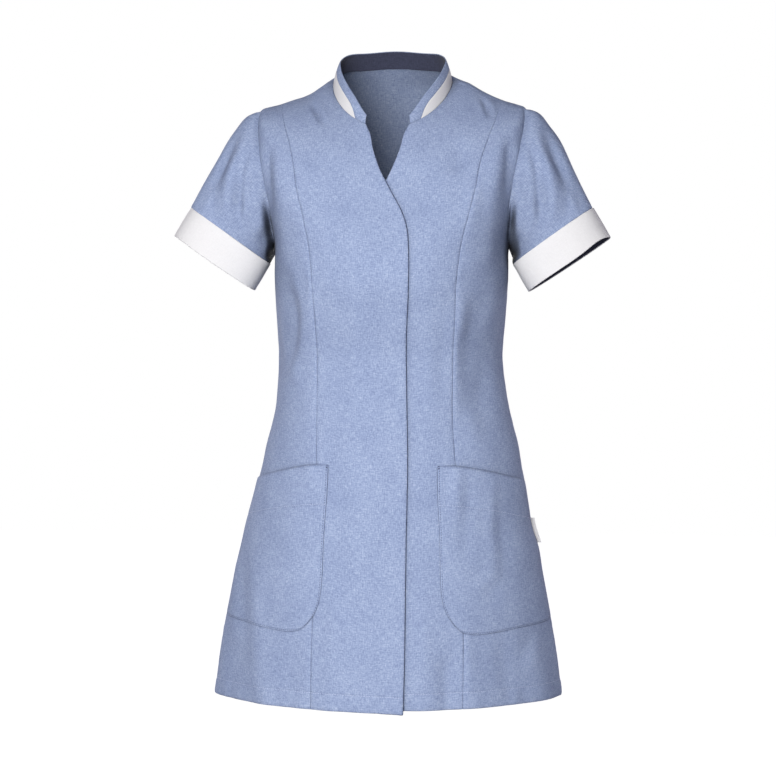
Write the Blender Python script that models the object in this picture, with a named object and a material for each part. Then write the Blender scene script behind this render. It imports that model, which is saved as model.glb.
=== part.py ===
"""A short-sleeved work blouse, standing open and empty as if worn, in metres with Z up.

The wearer faces -Y and +X is the wearer's left. Z is 0 where the neck seam crosses the
shoulders. One worn form, given as rings around the neck, shoulders, body and skirt, carries
every cut piece: a place on it is an angle round from the front centre and a distance s down.
"""
import bpy
import numpy as np

# Cloth and seams
WALL = 0.0015
CUFF_WALL = 0.0012
FACING_WALL = 0.0010
POCKET_WALL = 0.0012
SEAM_GAP = 0.0005
LAYER_GAP = 0.0004
POCKET_GAP = 0.0007

# Where the seams and edges run
SHOULDER_SEAM_ANGLE = 82.0
PRINCESS_TOP_S = 0.0635
SHOULDER_TIP_S = 0.098
ARMPIT_S = 0.272
HEM_S = 0.848
CLOSED_FROM_S = (0.060, 0.105)
LAP_RISE = 0.0013
LAP_FULL_X = 0.033
LAP_NONE_X = 0.058
LEFT_SHOULDER_RISE = 0.0045
RIGHT_HEM_DROP = 0.002
LEFT_HEM_DROP = -0.003

# How finely the pieces are divided
ARMHOLE_ROWS = 12
BODY_ROWS = 22
NECK_FRONT_ANGLES = (21.6, 31.0, 41.0, 51.0, 61.0, 71.5, SHOULDER_SEAM_ANGLE)
NECK_BACK_COLUMNS = 12
SHOULDER_COLUMNS = 4
SIDE_COLUMNS = 6
SLEEVE_ROWS = 10
CUFF_ROWS = 3
POCKET_ROWS = 10
POCKET_COLUMNS = 14

# Collar
COLLAR_LEAN = 17.0
COLLAR_AXIS_Y = -0.012
LABEL_WIDTH = 0.0062
LABEL_HEIGHT = 0.031
LABEL_THICK = 0.0010
LABEL_S = 0.634

RING_COLUMNS = ("s", "half_width", "side_z", "front_depth", "front_z", "back_depth", "back_z",
                "round_x", "round_y", "round_z")
RINGS = np.array((
    (0.000, 0.0762, 0.0000, 0.088, -0.067, 0.058, 0.028, 1.00, 1.00, 1.20),  # neck seam
    (0.030, 0.1050, -0.0085, 0.098, -0.090, 0.079, 0.006, 0.95, 0.95, 1.35),  # collar bone
    (0.062, 0.1390, -0.0210, 0.107, -0.112, 0.095, -0.022, 0.88, 0.90, 1.50),  # mid shoulder
    (0.098, 0.1680, -0.0350, 0.114, -0.136, 0.105, -0.055, 0.82, 0.85, 1.60),  # shoulder tip
    (0.140, 0.1760, -0.0750, 0.121, -0.163, 0.111, -0.100, 0.80, 0.82, 1.80),  # upper armhole
    (0.190, 0.1700, -0.1250, 0.128, -0.188, 0.115, -0.145, 0.80, 0.82, 1.90),  # mid armhole
    (0.235, 0.1590, -0.1700, 0.134, -0.212, 0.116, -0.183, 0.82, 0.84, 2.00),  # low armhole
    (0.272, 0.1508, -0.2070, 0.138, -0.232, 0.115, -0.214, 0.84, 0.86, 2.00),  # armpit
    (0.315, 0.1498, -0.2500, 0.137, -0.262, 0.112, -0.253, 0.86, 0.88, 2.00),  # bust
    (0.365, 0.1470, -0.3000, 0.125, -0.304, 0.103, -0.301, 0.88, 0.90, 2.00),  # under the bust
    (0.417, 0.1440, -0.3520, 0.112, -0.353, 0.094, -0.352, 0.90, 0.92, 2.00),  # waist
    (0.475, 0.1490, -0.4100, 0.113, -0.410, 0.101, -0.410, 0.90, 0.92, 2.00),  # under the waist
    (0.535, 0.1642, -0.4700, 0.119, -0.470, 0.115, -0.470, 0.92, 0.96, 2.00),  # pocket top
    (0.600, 0.1804, -0.5350, 0.126, -0.535, 0.128, -0.535, 0.94, 1.05, 2.00),  # hip
    (0.700, 0.2000, -0.6350, 0.133, -0.635, 0.137, -0.635, 0.96, 1.22, 2.00),  # thigh
    (0.780, 0.2146, -0.7150, 0.138, -0.715, 0.141, -0.715, 0.98, 1.38, 2.00),  # skirt
    (0.848, 0.2230, -0.7830, 0.141, -0.783, 0.144, -0.783, 0.98, 1.46, 2.00),  # hem
))

# s and x of the princess seam, on either side
PRINCESS = np.array((
    (0.0635, 0.1392), (0.070, 0.1345), (0.079, 0.1275), (0.090, 0.1218), (0.115, 0.1158),
    (0.150, 0.1108), (0.200, 0.1025), (0.260, 0.0942), (0.320, 0.0889), (0.362, 0.0866),
    (0.405, 0.0843), (0.450, 0.0840), (0.547, 0.0858), (0.665, 0.0902), (0.750, 0.0928),
    (0.860, 0.0935),
))

# s and x of a front's edge, counted towards its own side, so the lap past the centre is below 0
FRONT_EDGE = np.array((
    (0.000, 0.0280), (0.012, 0.0222), (0.036, 0.0176), (0.061, 0.0116), (0.078, 0.0070),
    (0.096, 0.0010), (0.119, -0.0069), (0.144, -0.0156), (0.175, -0.0227), (0.207, -0.0275),
    (0.256, -0.0299), (0.330, -0.0299), (0.396, -0.0268), (0.448, -0.0273), (0.543, -0.0300),
    (0.648, -0.0296), (0.799, -0.0292), (0.860, -0.0280),
))

# share of the way, s and angle down the front and the back of an armhole
ARMHOLE_FRONT = np.array((
    (0.00, 0.098, 82.0), (0.15, 0.119, 72.5), (0.35, 0.150, 63.5), (0.55, 0.192, 64.0),
    (0.76, 0.237, 70.0), (0.92, 0.267, 80.5), (1.00, 0.272, 90.0),
))
ARMHOLE_BACK = np.array((
    (0.00, 0.098, 82.0), (0.15, 0.112, 99.0), (0.35, 0.148, 112.0), (0.55, 0.192, 114.0),
    (0.76, 0.237, 108.5), (0.92, 0.267, 99.0), (1.00, 0.272, 90.0),
))

# angle, whole height and height of the white insert round the collar
COLLAR = np.array((
    (21.6, 0.0125, 0.0000), (31.0, 0.0200, 0.0012), (41.0, 0.0258, 0.0095),
    (51.0, 0.0282, 0.0142), (61.0, 0.0288, 0.0160), (71.5, 0.0285, 0.0165),
    (90.0, 0.0275, 0.0162), (120.0, 0.0250, 0.0145), (150.0, 0.0228, 0.0128),
    (180.0, 0.0218, 0.0120),
))

# s and x of a pocket's top, inner and bottom edges
POCKET_TOP = np.array(((0.549, 0.0675), (0.5495, 0.0790), (0.5510, 0.0930), (0.5545, 0.1150),
                       (0.5600, 0.1395), (0.5650, 0.1560)))
POCKET_INNER = np.array(((0.549, 0.0675), (0.592, 0.0686), (0.640, 0.0714), (0.690, 0.0728),
                         (0.715, 0.0758), (0.731, 0.0815), (0.7435, 0.0895)))
POCKET_BOTTOM = np.array(((0.7435, 0.0895), (0.7515, 0.0985), (0.7552, 0.1110),
                          (0.7555, 0.1240), (0.7535, 0.1450), (0.7500, 0.1690)))
POCKET_SIDE_TOP = (89.0, 0.5720)
POCKET_SIDE_BOTTOM = (89.0, 0.7440)

# x and z of the cuff's seam and edge at their outer and inner ends, and their half depths
CUFF_SEAM_OUTER = (0.2570, -0.1600)
CUFF_SEAM_INNER = (0.1560, -0.2268)
CUFF_EDGE_OUTER = (0.2788, -0.1965)
CUFF_EDGE_INNER = (0.1755, -0.2655)
CUFF_SEAM_HALF_DEPTH = 0.043
CUFF_EDGE_HALF_DEPTH = 0.045
SLEEVE_CENTRE_Y = -0.004

# The largest folds: +1 front or -1 back, top x and z, bottom x and z, half width, rise
FOLDS = (
    (1, -0.132, -0.262, -0.109, -0.362, 0.012, -0.0040),
    (1, 0.136, -0.300, 0.112, -0.425, 0.014, -0.0040),
    (1, 0.098, -0.262, 0.094, -0.338, 0.008, 0.0020),
    (1, 0.092, -0.075, 0.090, -0.140, 0.012, -0.0022),
    (1, 0.112, -0.125, 0.101, -0.205, 0.010, 0.0022),
    (1, -0.188, -0.700, -0.197, -0.783, 0.014, -0.0035),
    (1, 0.188, -0.700, 0.200, -0.783, 0.014, 0.0035),
    (1, -0.056, -0.640, -0.060, -0.783, 0.015, 0.0028),
    (1, 0.078, -0.705, 0.084, -0.783, 0.012, -0.0030),
    (-1, -0.118, -0.270, -0.104, -0.372, 0.013, -0.0040),
    (-1, 0.120, -0.285, 0.106, -0.400, 0.013, -0.0040),
    (-1, -0.070, -0.560, -0.082, -0.783, 0.018, 0.0038),
    (-1, 0.078, -0.580, 0.090, -0.783, 0.018, 0.0038),
    (-1, 0.000, -0.600, 0.004, -0.783, 0.020, -0.0030),
    (-1, 0.000, -0.330, 0.002, -0.420, 0.030, -0.0030),
)

# Folds along a sleeve: degrees round from its top, first and last share of its length, half
# width in degrees, rise
SLEEVE_FOLDS = (
    (52.0, 0.05, 0.95, 13.0, 0.0022),
    (84.0, 0.00, 0.80, 13.0, -0.0026),
    (118.0, 0.10, 0.90, 13.0, 0.0016),
    (250.0, 0.05, 0.90, 15.0, -0.0024),
    (292.0, 0.10, 0.95, 15.0, 0.0020),
)

CHAMBRAY = (0.330, 0.420, 0.700)
WHITE = (0.880, 0.880, 0.890)
NAVY = (0.052, 0.056, 0.095)


def along(knots, values, at):
    """A smooth curve through the values at the knots."""
    at = np.asarray(at, float)
    step = np.diff(knots)
    rise = np.diff(values) / step
    slope = np.empty(len(knots))
    slope[0] = rise[0]
    slope[-1] = rise[-1]
    slope[1:-1] = (rise[:-1] * step[1:] + rise[1:] * step[:-1]) / (step[1:] + step[:-1])
    i = np.clip(np.searchsorted(knots, at, side="right") - 1, 0, len(knots) - 2)
    h = step[i]
    t = (at - knots[i]) / h
    return (values[i] * (1 + 2 * t) * (1 - t) ** 2 + slope[i] * h * t * (1 - t) ** 2
            + values[i + 1] * t * t * (3 - 2 * t) + slope[i + 1] * h * t * t * (t - 1))


def ring(name, s):
    return along(RINGS[:, 0], RINGS[:, RING_COLUMNS.index(name)], s)


def form(angle, s):
    """Points of the worn form, before its folds."""
    turn = np.radians(angle)
    across = np.sin(turn)
    ahead = np.cos(turn)
    share = np.abs(across) ** ring("round_x", s) * np.sign(across)
    depth = np.abs(ahead) ** ring("round_y", s)
    fall = np.abs(ahead) ** ring("round_z", s)
    front = ahead > 0
    side_z = ring("side_z", s)
    far_z = np.where(front, ring("front_z", s), ring("back_z", s))
    x = ring("half_width", s) * share
    y = np.where(front, -ring("front_depth", s), ring("back_depth", s)) * depth
    z = side_z + (far_z - side_z) * fall
    return np.stack([x, y, z], axis=-1)


def outward(angle, s):
    """Unit normals of the form."""
    s_low = np.maximum(s - 0.001, 0.0)
    round_it = form(angle + 0.5, s) - form(angle - 0.5, s)
    down_it = form(angle, s + 0.001) - form(angle, s_low)
    n = np.cross(down_it, round_it)
    return n / np.linalg.norm(n, axis=-1, keepdims=True)


def smooth(t):
    t = np.clip(t, 0.0, 1.0)
    return t * t * (3 - 2 * t)


def fold_rise(points, side):
    """How far the largest folds lift the cloth at points of the form."""
    x = points[..., 0] * side
    z = points[..., 2]
    rise = np.zeros(x.shape)
    for face, x0, z0, x1, z1, half_width, height in FOLDS:
        length = np.hypot(x1 - x0, z1 - z0)
        dx = (x1 - x0) / length
        dz = (z1 - z0) / length
        t = ((x - x0) * dx + (z - z0) * dz) / length
        off = (x - x0) * dz - (z - z0) * dx
        open_end = z1 < RINGS[-1, 2] + 0.002
        fade = smooth(t / 0.4) * (1.0 if open_end else smooth((1 - t) / 0.4))
        on_face = smooth(-face * points[..., 1] / 0.03)
        rise += height * np.exp(-(off / half_width) ** 2) * fade * on_face
    return rise


def surface(places, side=1, lift=0.0):
    """Points on the outside of the cloth and their normals, at (angle, s) places."""
    angle = places[..., 0]
    s = places[..., 1]
    base = form(angle, s)
    normal = outward(angle, s)
    points = base + normal * (fold_rise(base, side) + lift)[..., None]
    mirror = np.array((side, 1, 1))
    points = points * mirror
    points[..., 2] += shoulder_rise(points[..., 0], s)
    return points, normal * mirror


def shoulder_rise(x, s):
    """The wearer's left shoulder is worn a little higher than the right one."""
    return LEFT_SHOULDER_RISE * smooth(x / 0.10) * smooth(s / 0.04) * smooth((0.21 - s) / 0.11)


def angle_at(x, s):
    """The front angle at which the form has this x."""
    share = np.clip(x / ring("half_width", s), -1, 1)
    return np.degrees(np.arcsin(np.sign(share) * np.abs(share) ** (1 / ring("round_x", s))))


def line(table, count, last=None):
    """Places evenly spread by length along an (s, x) table, and on to a last place."""
    t = np.linspace(0, 1, 300)
    way = np.linspace(0, 1, len(table))
    s = along(way, table[:, 0], t)
    x = along(way, table[:, 1], t)
    places = np.stack([angle_at(x, s), s], axis=-1)
    if last is not None:
        places = joined(places, straight(places[-1], last, 80))
    return spread(places, count)


def spread(places, count):
    """Places evenly spread by length along a finely given line on the form."""
    points = form(places[:, 0], places[:, 1])
    length = np.concatenate([[0], np.cumsum(np.linalg.norm(np.diff(points, axis=0), axis=1))])
    at = np.linspace(0, length[-1], count + 1)
    return np.stack([np.interp(at, length, places[:, k]) for k in range(2)], axis=-1)


def down(table, first_s, last_s, heights):
    """Places on a seam given as an (s, x) table, at the wanted heights."""
    s = np.linspace(first_s, last_s, 600)
    angle = angle_at(along(table[:, 0], table[:, 1], s), s)
    z = form(angle, s)[:, 2]
    return np.stack([np.interp(-heights, -z, angle), np.interp(-heights, -z, s)], axis=-1)


def straight(first, last, count):
    return np.linspace(np.array(first), np.array(last), count + 1)


def joined(*lines):
    """One line of places from several that meet end to end."""
    return np.concatenate([lines[0]] + [part[1:] for part in lines[1:]])


def row_heights(top_z, armpit_z, hem_z):
    upper = np.linspace(top_z, armpit_z, ARMHOLE_ROWS + 1)
    lower = np.linspace(armpit_z, hem_z, BODY_ROWS + 1)
    return np.concatenate([upper, lower[1:]])


def patch(top, bottom, left, right, top_reach=4.0, middle_s=None):
    """A grid of places whose edges are the four lines; a higher top_reach lets go of top sooner."""
    u = np.linspace(0, 1, len(top))[None, :, None]
    v = np.linspace(0, 1, len(left))[:, None, None]
    rows = (1 - u) * left[:, None] + u * right[:, None]
    if middle_s is not None:
        inside = smooth(np.minimum(u, 1 - u)[..., 0] / 0.24)
        rows[..., 1] = (1 - inside) * rows[..., 1] + inside * middle_s[:, None]
    from_top = np.clip(1 - v * (len(left) - 1) / ARMHOLE_ROWS, 0, 1) ** top_reach
    return rows + from_top * (top - rows[0]) + v ** 3 * (bottom - rows[-1])


def inset(grid, amount):
    """How far each point of a grid moves so that its edges draw in by the amount."""
    move = np.zeros(grid.shape)
    for axis, edge, inner in ((0, 0, 1), (0, -1, -2), (1, 0, 1), (1, -1, -2)):
        rim = np.take(grid, edge, axis=axis)
        toward = np.take(grid, inner, axis=axis) - rim
        run = np.gradient(rim, axis=0)
        run /= np.maximum(np.linalg.norm(run, axis=-1, keepdims=True), 1e-9)
        toward -= run * (toward * run).sum(-1, keepdims=True)
        toward /= np.maximum(np.linalg.norm(toward, axis=-1, keepdims=True), 1e-9)
        if axis == 0:
            move[edge] += toward * amount
        else:
            move[:, edge] += toward * amount
    return move


def material(name, colour):
    made = bpy.data.materials.new(name)
    made.use_nodes = True
    shader = made.node_tree.nodes["Principled BSDF"]
    shader.inputs["Base Color"].default_value = (*colour, 1.0)
    shader.inputs["Roughness"].default_value = 0.9
    return made


def add_mesh(name, points, faces, cloth):
    """A closed body with its faces turned outward."""
    points = np.asarray(points)
    faces = np.asarray(faces)
    a, b, c = (points[faces[:, k]] for k in range(3))
    if (a * np.cross(b, c)).sum() < 0:
        faces = faces[:, ::-1]
    mesh = bpy.data.meshes.new(name)
    mesh.from_pydata(points.tolist(), [], faces.tolist())
    mesh.materials.append(cloth)
    made = bpy.data.objects.new(name, mesh)
    bpy.context.scene.collection.objects.link(made)
    return made


def quad(points, a, b, c, d):
    """Two triangles, split along the shorter diagonal."""
    if np.linalg.norm(points[a] - points[c]) <= np.linalg.norm(points[b] - points[d]):
        return [(a, b, c), (a, c, d)]
    return [(a, b, d), (b, c, d)]


def shell_faces(outer, inner, closed):
    """Points and triangles of the wall between two grids; closed ones run all the way round."""
    rows, columns = outer.shape[:2]
    count = rows * columns
    points = np.concatenate([outer.reshape(-1, 3), inner.reshape(-1, 3)])
    last = columns if closed else columns - 1
    faces = []
    for i in range(rows - 1):
        for j in range(last):
            k = (j + 1) % columns
            cell = (i * columns + j, i * columns + k, (i + 1) * columns + k, (i + 1) * columns + j)
            for triangle in quad(points, *cell):
                faces.append(triangle)
                faces.append(tuple(count + corner for corner in triangle[::-1]))
    for j in range(last):
        k = (j + 1) % columns
        bottom = (rows - 1) * columns
        faces += quad(points, k, j, count + j, count + k)
        faces += quad(points, bottom + j, bottom + k, count + bottom + k, count + bottom + j)
    if not closed:
        for i in range(rows - 1):
            a = i * columns
            b = a + columns
            faces += quad(points, a, b, count + b, count + a)
            faces += quad(points, b + columns - 1, a + columns - 1, count + a + columns - 1,
                          count + b + columns - 1)
    return points, faces


def add_panel(name, places, side, cloth, wall=WALL, lift=0.0):
    """A cut piece that lies on the form."""
    outer, normal = surface(places, side, lift)
    inner = outer - normal * wall
    move = inset(outer, SEAM_GAP / 2)
    points, faces = shell_faces(outer + move, inner + move, closed=False)
    return add_mesh(name, points, faces, cloth)


def lap(places, side):
    """The overlapping right front stands out and the left front sinks in under it."""
    base = form(places[..., 0], places[..., 1])
    near = smooth((LAP_NONE_X - base[..., 0]) / (LAP_NONE_X - LAP_FULL_X))
    first, full = CLOSED_FROM_S
    return -side * LAP_RISE * near * smooth((places[..., 1] - first) / (full - first))


def tube_normals(rings, centre):
    """Normals of a tube's grid of points, away from the middle of each ring."""
    round_it = np.roll(rings, -1, axis=1) - np.roll(rings, 1, axis=1)
    along_it = np.gradient(rings, axis=0)
    n = np.cross(along_it, round_it)
    n /= np.linalg.norm(n, axis=-1, keepdims=True)
    if (n * (rings - centre[:, None])).sum() < 0:
        n = -n
    return n


def cuff_ring(outer, inner, half_depth, angles):
    """An oval between its outer and inner ends, front side first."""
    outer = np.array((outer[0], SLEEVE_CENTRE_Y, outer[1]))
    inner = np.array((inner[0], SLEEVE_CENTRE_Y, inner[1]))
    centre = (outer + inner) / 2
    depth = np.array((0, -half_depth, 0))
    return (centre + (outer - centre) * np.cos(angles)[:, None]
            + depth * np.sin(angles)[:, None])


def sleeve_grid(side):
    """Rows of points from the armhole to the cuff's seam, on the outside of a sleeve."""
    loop = joined(FRONT_ARMHOLE, BACK_ARMHOLE[::-1])[:-1]
    start, normal = surface(loop, side)
    mirror = np.array((side, 1, 1))
    start = start * mirror
    normal = normal * mirror
    turn = np.linspace(0, 2 * np.pi, len(loop), endpoint=False)
    low = ((1 - np.cos(turn)) / 2)[:, None]
    leave = (1 - low) * np.array((0.90, 0.0, -0.43)) + low * np.array((0.50, 0.0, -0.86))
    leave[:, 1] = -0.12 * np.sin(turn)
    leave /= np.linalg.norm(leave, axis=1, keepdims=True)
    start = start + leave * SEAM_GAP + normal * SEAM_GAP
    end = cuff_ring(CUFF_SEAM_OUTER, CUFF_SEAM_INNER, CUFF_SEAM_HALF_DEPTH, turn)
    arrive = np.array((0.478, 0.0, -0.878))
    chord = np.linalg.norm(end - start, axis=1, keepdims=True)
    rows = []
    for t in np.linspace(0, 1, SLEEVE_ROWS + 1):
        a = (1 + 2 * t) * (1 - t) ** 2
        b = t * (1 - t) ** 2
        c = t * t * (3 - 2 * t)
        d = t * t * (t - 1)
        rows.append(a * start + b * chord * 0.90 * leave + c * end + d * chord * 0.85 * arrive)
    grid = np.array(rows)
    normals = tube_normals(grid, grid.mean(axis=1))
    grid += normals * sleeve_fold_rise(np.degrees(turn), SLEEVE_ROWS)[..., None]
    return grid * mirror


def sleeve_fold_rise(degrees, rows):
    t = np.linspace(0, 1, rows + 1)[:, None]
    rise = np.zeros((rows + 1, len(degrees)))
    for middle, first, last, half_width, height in SLEEVE_FOLDS:
        off = (degrees[None] - middle + 180) % 360 - 180
        fade = smooth((t - first) / 0.3) * smooth((last - t) / 0.3)
        rise += height * np.exp(-(off / half_width) ** 2) * fade
    return rise


def add_tube(name, grid, wall, cloth, sink=0.0):
    """A band of cloth that runs all the way round, with its outside sunk in by an amount."""
    normals = tube_normals(grid, grid.mean(axis=1))
    outer = grid - normals * sink
    inner = outer - normals * wall
    points, faces = shell_faces(outer, inner, closed=True)
    return add_mesh(name, points, faces, cloth)


def cuff_grid(side, first, last):
    """Rows of points down a cuff, between two shares of its height."""
    turn = np.linspace(0, 2 * np.pi, 2 * ARMHOLE_ROWS, endpoint=False)
    top = cuff_ring(CUFF_SEAM_OUTER, CUFF_SEAM_INNER, CUFF_SEAM_HALF_DEPTH, turn)
    bottom = cuff_ring(CUFF_EDGE_OUTER, CUFF_EDGE_INNER, CUFF_EDGE_HALF_DEPTH, turn)
    t = np.linspace(first, last, CUFF_ROWS + 1)[:, None, None]
    return (top + (bottom - top) * t) * np.array((side, 1, 1))


def collar_shell(angles, low, high, sink, wall):
    """Outer and inner grids of a band of the collar, between two heights at each angle."""
    base = form(angles, np.zeros(len(angles)))
    base[1::2] = (base[0:-1:2] + base[2::2]) / 2
    inward = np.array((0.0, COLLAR_AXIS_Y, 0.0)) - base
    inward[:, 2] = 0
    inward /= np.linalg.norm(inward, axis=1, keepdims=True)
    lean = np.radians(COLLAR_LEAN)
    up = np.array((0.0, 0.0, 1.0))
    stand = inward * np.sin(lean) + up * np.cos(lean)
    through = inward * np.cos(lean) - up * np.sin(lean)
    outer = np.array([base + stand * h[:, None] for h in (high, (high + low) / 2, low)])
    outer = outer + through * sink
    return outer, outer + through * wall


def add_collar(name, angles, low, high, sink, wall, cloth):
    outer, inner = collar_shell(angles, low, high, sink, wall)
    points, faces = shell_faces(outer, inner, closed=False)
    return add_mesh(name, points, faces, cloth)


def halved(values):
    """The values with their midpoints put between them."""
    values = np.asarray(values, float)
    fine = np.empty(2 * len(values) - 1)
    fine[0::2] = values
    fine[1::2] = (values[:-1] + values[1:]) / 2
    return fine


for old in list(bpy.data.objects):
    bpy.data.objects.remove(old)

chambray = material("chambray", CHAMBRAY)
white = material("white_cloth", WHITE)
navy = material("navy_cloth", NAVY)

# Seam lines as places on the form, on the +X side
fine_share = np.linspace(0, 1, 300)
FRONT_ARMHOLE = spread(np.stack([along(ARMHOLE_FRONT[:, 0], ARMHOLE_FRONT[:, 2], fine_share),
                                 along(ARMHOLE_FRONT[:, 0], ARMHOLE_FRONT[:, 1], fine_share)],
                                axis=-1), ARMHOLE_ROWS)
BACK_ARMHOLE = spread(np.stack([along(ARMHOLE_BACK[:, 0], ARMHOLE_BACK[:, 2], fine_share),
                                along(ARMHOLE_BACK[:, 0], ARMHOLE_BACK[:, 1], fine_share)],
                               axis=-1), ARMHOLE_ROWS)
side_seam = straight((90.0, ARMPIT_S), (90.0, HEM_S), BODY_ROWS)
front_side_edge = joined(FRONT_ARMHOLE, side_seam)
back_side_edge = joined(BACK_ARMHOLE, side_seam)

edge_top_z = form(NECK_FRONT_ANGLES[0], 0.0)[2]
princess_top_z = form(SHOULDER_SEAM_ANGLE, PRINCESS_TOP_S)[2]
princess = down(PRINCESS, PRINCESS_TOP_S, HEM_S, row_heights(princess_top_z, -0.224, -0.783))
princess[0] = (SHOULDER_SEAM_ANGLE, PRINCESS_TOP_S)
princess[-1, 1] = HEM_S
front_edge = down(FRONT_EDGE, 0.0, HEM_S, row_heights(edge_top_z, -0.236, -0.783))
front_edge[0] = (NECK_FRONT_ANGLES[0], 0.0)
front_edge[-1, 1] = HEM_S

neck_front = np.array([(angle, 0.0) for angle in NECK_FRONT_ANGLES])
neck_point = (SHOULDER_SEAM_ANGLE, 0.0)
princess_top = (SHOULDER_SEAM_ANGLE, PRINCESS_TOP_S)
shoulder_tip = (SHOULDER_SEAM_ANGLE, SHOULDER_TIP_S)
inner_shoulder = straight(neck_point, princess_top, SHOULDER_COLUMNS)
outer_shoulder = straight(princess_top, shoulder_tip, SIDE_COLUMNS)

# Fronts
centre_top = joined(neck_front, inner_shoulder)
for side, name, drop in ((-1, "right", RIGHT_HEM_DROP), (1, "left", LEFT_HEM_DROP)):
    hem = straight(front_edge[-1], princess[-1], len(centre_top) - 1)
    hem[:, 1] += drop * np.linspace(1, 0, len(hem)) ** 2
    edge = front_edge + np.array((0.0, drop)) * smooth(np.linspace(-3, 1, len(front_edge)))[:, None]
    places = patch(centre_top, hem, edge, princess)
    add_panel("front_centre_" + name, places, side, chambray, lift=lap(places, side))
    hem = straight(princess[-1], front_side_edge[-1], SIDE_COLUMNS)
    places = patch(outer_shoulder, hem, princess, front_side_edge)
    add_panel("front_side_" + name, places, side, chambray)

# Back, from the wearer's left side seam round to the right one
mirror_place = np.array((-1.0, 1.0))
whole_turn = np.array((360.0, 0.0))
left_shoulder = joined(outer_shoulder[::-1], inner_shoulder[::-1])
right_shoulder = left_shoulder[::-1] * mirror_place + whole_turn
neck_back = straight(neck_point, right_shoulder[0], NECK_BACK_COLUMNS)
back_top = joined(left_shoulder, neck_back, right_shoulder)
right_side_edge = back_side_edge * mirror_place + whole_turn
hem = straight(back_side_edge[-1], right_side_edge[-1], len(back_top) - 1)
fine_s = np.linspace(0, HEM_S, 600)
back_z = form(180.0, fine_s)[:, 2]
middle_s = np.interp(-np.linspace(back_z[0], back_z[-1], len(back_side_edge)), -back_z, fine_s)
places = patch(back_top, hem, back_side_edge, right_side_edge, 2.0, middle_s)
add_panel("back", places, 1, chambray)

# Sleeves, cuffs and the cuffs' facings
for side, name in ((-1, "right"), (1, "left")):
    grid = sleeve_grid(side)
    grid[-1] += (grid[-2] - grid[-1]) * 0.02
    add_tube("sleeve_" + name, grid, WALL, chambray)
    add_tube("cuff_" + name, cuff_grid(side, 0.012, 1.0), CUFF_WALL, white)
    add_tube("cuff_facing_" + name, cuff_grid(side, 0.012, 0.985), FACING_WALL, navy,
             sink=CUFF_WALL + LAYER_GAP)

# Collar: the white insert along the neck seam, the chambray band over it, the facing inside
collar_angles = np.concatenate([NECK_FRONT_ANGLES, neck_back[1:-1, 0],
                                360 - np.array(NECK_FRONT_ANGLES[::-1])])
collar_angles = halved(collar_angles)
from_front = np.where(collar_angles > 180, 360 - collar_angles, collar_angles)
height = along(COLLAR[:, 0], COLLAR[:, 1], from_front)
insert = along(COLLAR[:, 0], COLLAR[:, 2], from_front)
insert[:2] = 0
insert[-2:] = 0
foot = np.full(len(height), SEAM_GAP)
band_low = np.where(insert > 0, insert + 1.2 * SEAM_GAP, foot)
add_collar("collar_band", collar_angles, band_low, height, 0.0, CUFF_WALL, chambray)
inside = slice(2, len(height) - 2)
add_collar("collar_insert", collar_angles[inside], foot[inside], insert[inside], 0.0, CUFF_WALL,
           white)
add_collar("collar_facing", collar_angles, foot, height - SEAM_GAP, CUFF_WALL + LAYER_GAP,
           FACING_WALL, navy)

# Pockets, from the points of the fronts moved out
for side, name in ((-1, "right"), (1, "left")):
    top = line(POCKET_TOP, POCKET_COLUMNS, POCKET_SIDE_TOP)
    inner_edge = line(POCKET_INNER, POCKET_ROWS)
    bottom = line(POCKET_BOTTOM, POCKET_COLUMNS, POCKET_SIDE_BOTTOM)
    outer_edge = straight(top[-1], bottom[-1], POCKET_ROWS)
    places = patch(top, bottom, inner_edge, outer_edge)
    add_panel("pocket_" + name, places, side, chambray, POCKET_WALL, POCKET_GAP + POCKET_WALL)

# Side label, a plain tab that stands out of the left side seam
label_s = LABEL_S + np.array((-0.5, 0.5)) * LABEL_HEIGHT
edge, _ = surface(np.stack([np.full(2, 90.0), label_s], axis=-1))
tab = []
for row in edge:
    for out in (SEAM_GAP, LABEL_WIDTH):
        for across in (-0.5, 0.5):
            tab.append(row + np.array((out, across * LABEL_THICK, 0)))
tab_faces = [(0, 1, 3), (0, 3, 2), (4, 6, 7), (4, 7, 5), (0, 4, 5), (0, 5, 1),
             (2, 3, 7), (2, 7, 6), (0, 2, 6), (0, 6, 4), (1, 5, 7), (1, 7, 3)]
add_mesh("side_label", tab, tab_faces, white)
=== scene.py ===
import itertools

import bpy
import numpy as np
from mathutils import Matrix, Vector


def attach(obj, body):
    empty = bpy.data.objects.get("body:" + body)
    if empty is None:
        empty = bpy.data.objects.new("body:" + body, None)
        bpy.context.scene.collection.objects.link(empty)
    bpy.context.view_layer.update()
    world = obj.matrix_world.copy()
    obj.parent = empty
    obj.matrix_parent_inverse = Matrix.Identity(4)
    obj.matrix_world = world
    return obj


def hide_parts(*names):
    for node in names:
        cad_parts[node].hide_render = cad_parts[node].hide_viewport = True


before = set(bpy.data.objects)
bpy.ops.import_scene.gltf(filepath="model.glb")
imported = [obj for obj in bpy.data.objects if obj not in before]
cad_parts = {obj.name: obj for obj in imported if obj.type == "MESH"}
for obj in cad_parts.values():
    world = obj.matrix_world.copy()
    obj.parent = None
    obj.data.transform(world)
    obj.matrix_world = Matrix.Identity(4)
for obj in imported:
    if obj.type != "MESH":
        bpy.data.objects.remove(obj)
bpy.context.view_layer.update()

# which way along X each side is, and its name
SIDES = ((-1, "right"), (1, "left"))

# Cloth thickness as it shows
CLOTH = 0.0007
DOUBLE = 0.0012
CUFF_CLOTH = 0.0013
FACING_CLOTH = 0.0008
POCKET_LIFT = 0.0007
HEM_DEPTH = 0.020
POCKET_HEM_DEPTH = 0.050

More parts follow.
